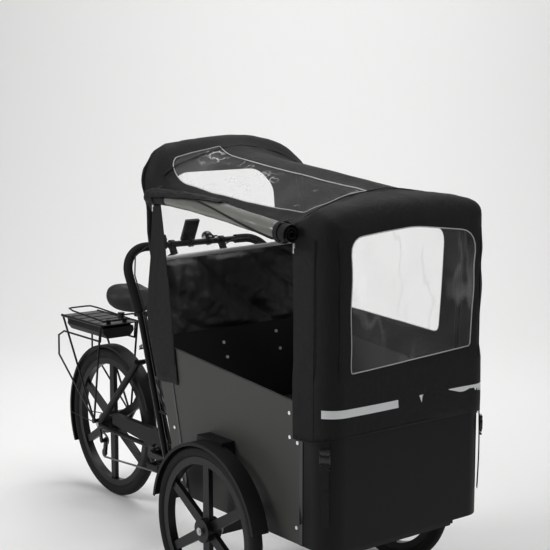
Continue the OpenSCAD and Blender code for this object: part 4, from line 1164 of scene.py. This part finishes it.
# %% [markdown]
# ## Studio
# A sheet of pale paper runs along the floor and sweeps up behind the bicycle, lit by four soft
# boxes. It stands on one side only: seen from behind, the plain world shows above the floor.

# %% Paper sweep
FLOOR_END, SWEEP, PAPER_HALF, PAPER_TOP = 4.0, 3.5, 11, 11.0
ahead = Vector((-math.cos(TURN), math.sin(TURN), 0))
aside = Vector((math.sin(TURN), math.cos(TURN), 0))
profile = [(-9.0, 0.0), (-3.0, 0.0), (0.0, 0.0), (FLOOR_END, 0.0)]
profile += [(FLOOR_END + SWEEP * math.sin(math.radians(a)),
             SWEEP - SWEEP * math.cos(math.radians(a))) for a in range(6, 91, 6)]
profile += [(FLOOR_END + SWEEP, 6.0), (FLOOR_END + SWEEP, PAPER_TOP)]
paper_mesh = bmesh.new()
join_rows(paper_mesh, [
    [paper_mesh.verts.new(ahead * along + aside * s + Vector((0, 0, z)))
     for s in (-PAPER_HALF, PAPER_HALF)] for along, z in profile], flipped=True)
mesh = bpy.data.meshes.new("studio_paper")
paper_mesh.to_mesh(mesh)
paper_mesh.free()
for face in mesh.polygons:
    face.use_smooth = True
studio_paper = bpy.data.objects.new("studio_paper", mesh)
bpy.context.scene.collection.objects.link(studio_paper)
mesh.materials.append(Finish("studio_paper").surface((0.86, 0.86, 0.855), 0.85))


# %% Studio light
WORLD_LIGHT, PICTURE_GAMMA = 0.24, 0.86


def softbox(name, place, aim, size, watts):
    light = bpy.data.lights.new(name, "AREA")
    light.shape, light.size, light.size_y, light.energy = "RECTANGLE", size[0], size[1], watts
    lamp = bpy.data.objects.new(name, light)
    bpy.context.scene.collection.objects.link(lamp)
    lamp.location = place
    lamp.rotation_mode = "QUATERNION"
    lamp.rotation_quaternion = (Vector(aim) - Vector(place)).to_track_quat("-Z", "Y")


softbox("key_softbox", (-1.5, -4.5, 3.6), (0.2, 0, 0.9), (2.6, 2.0), 150)
softbox("front_softbox", (4.8, 1.2, 3.2), (0.6, 0, 1.0), (2.4, 2.0), 45)
softbox("top_softbox", (0.3, 0.4, 4.6), (0.2, 0, 1.0), (3.0, 2.4), 70)
softbox("paper_softbox", (-1.6, 2.4, 5.6), (-5.0, 4.0, 1.8), (5.0, 3.0), 205)
world = bpy.data.worlds.new("studio_world")
world.use_nodes = True
sky = world.node_tree.nodes["Background"]
sky.inputs["Color"].default_value, sky.inputs["Strength"].default_value = (1, 1, 1, 1), WORLD_LIGHT
bpy.context.scene.world = world
bpy.context.scene.view_settings.view_transform = "Standard"
bpy.context.scene.view_settings.gamma = PICTURE_GAMMA
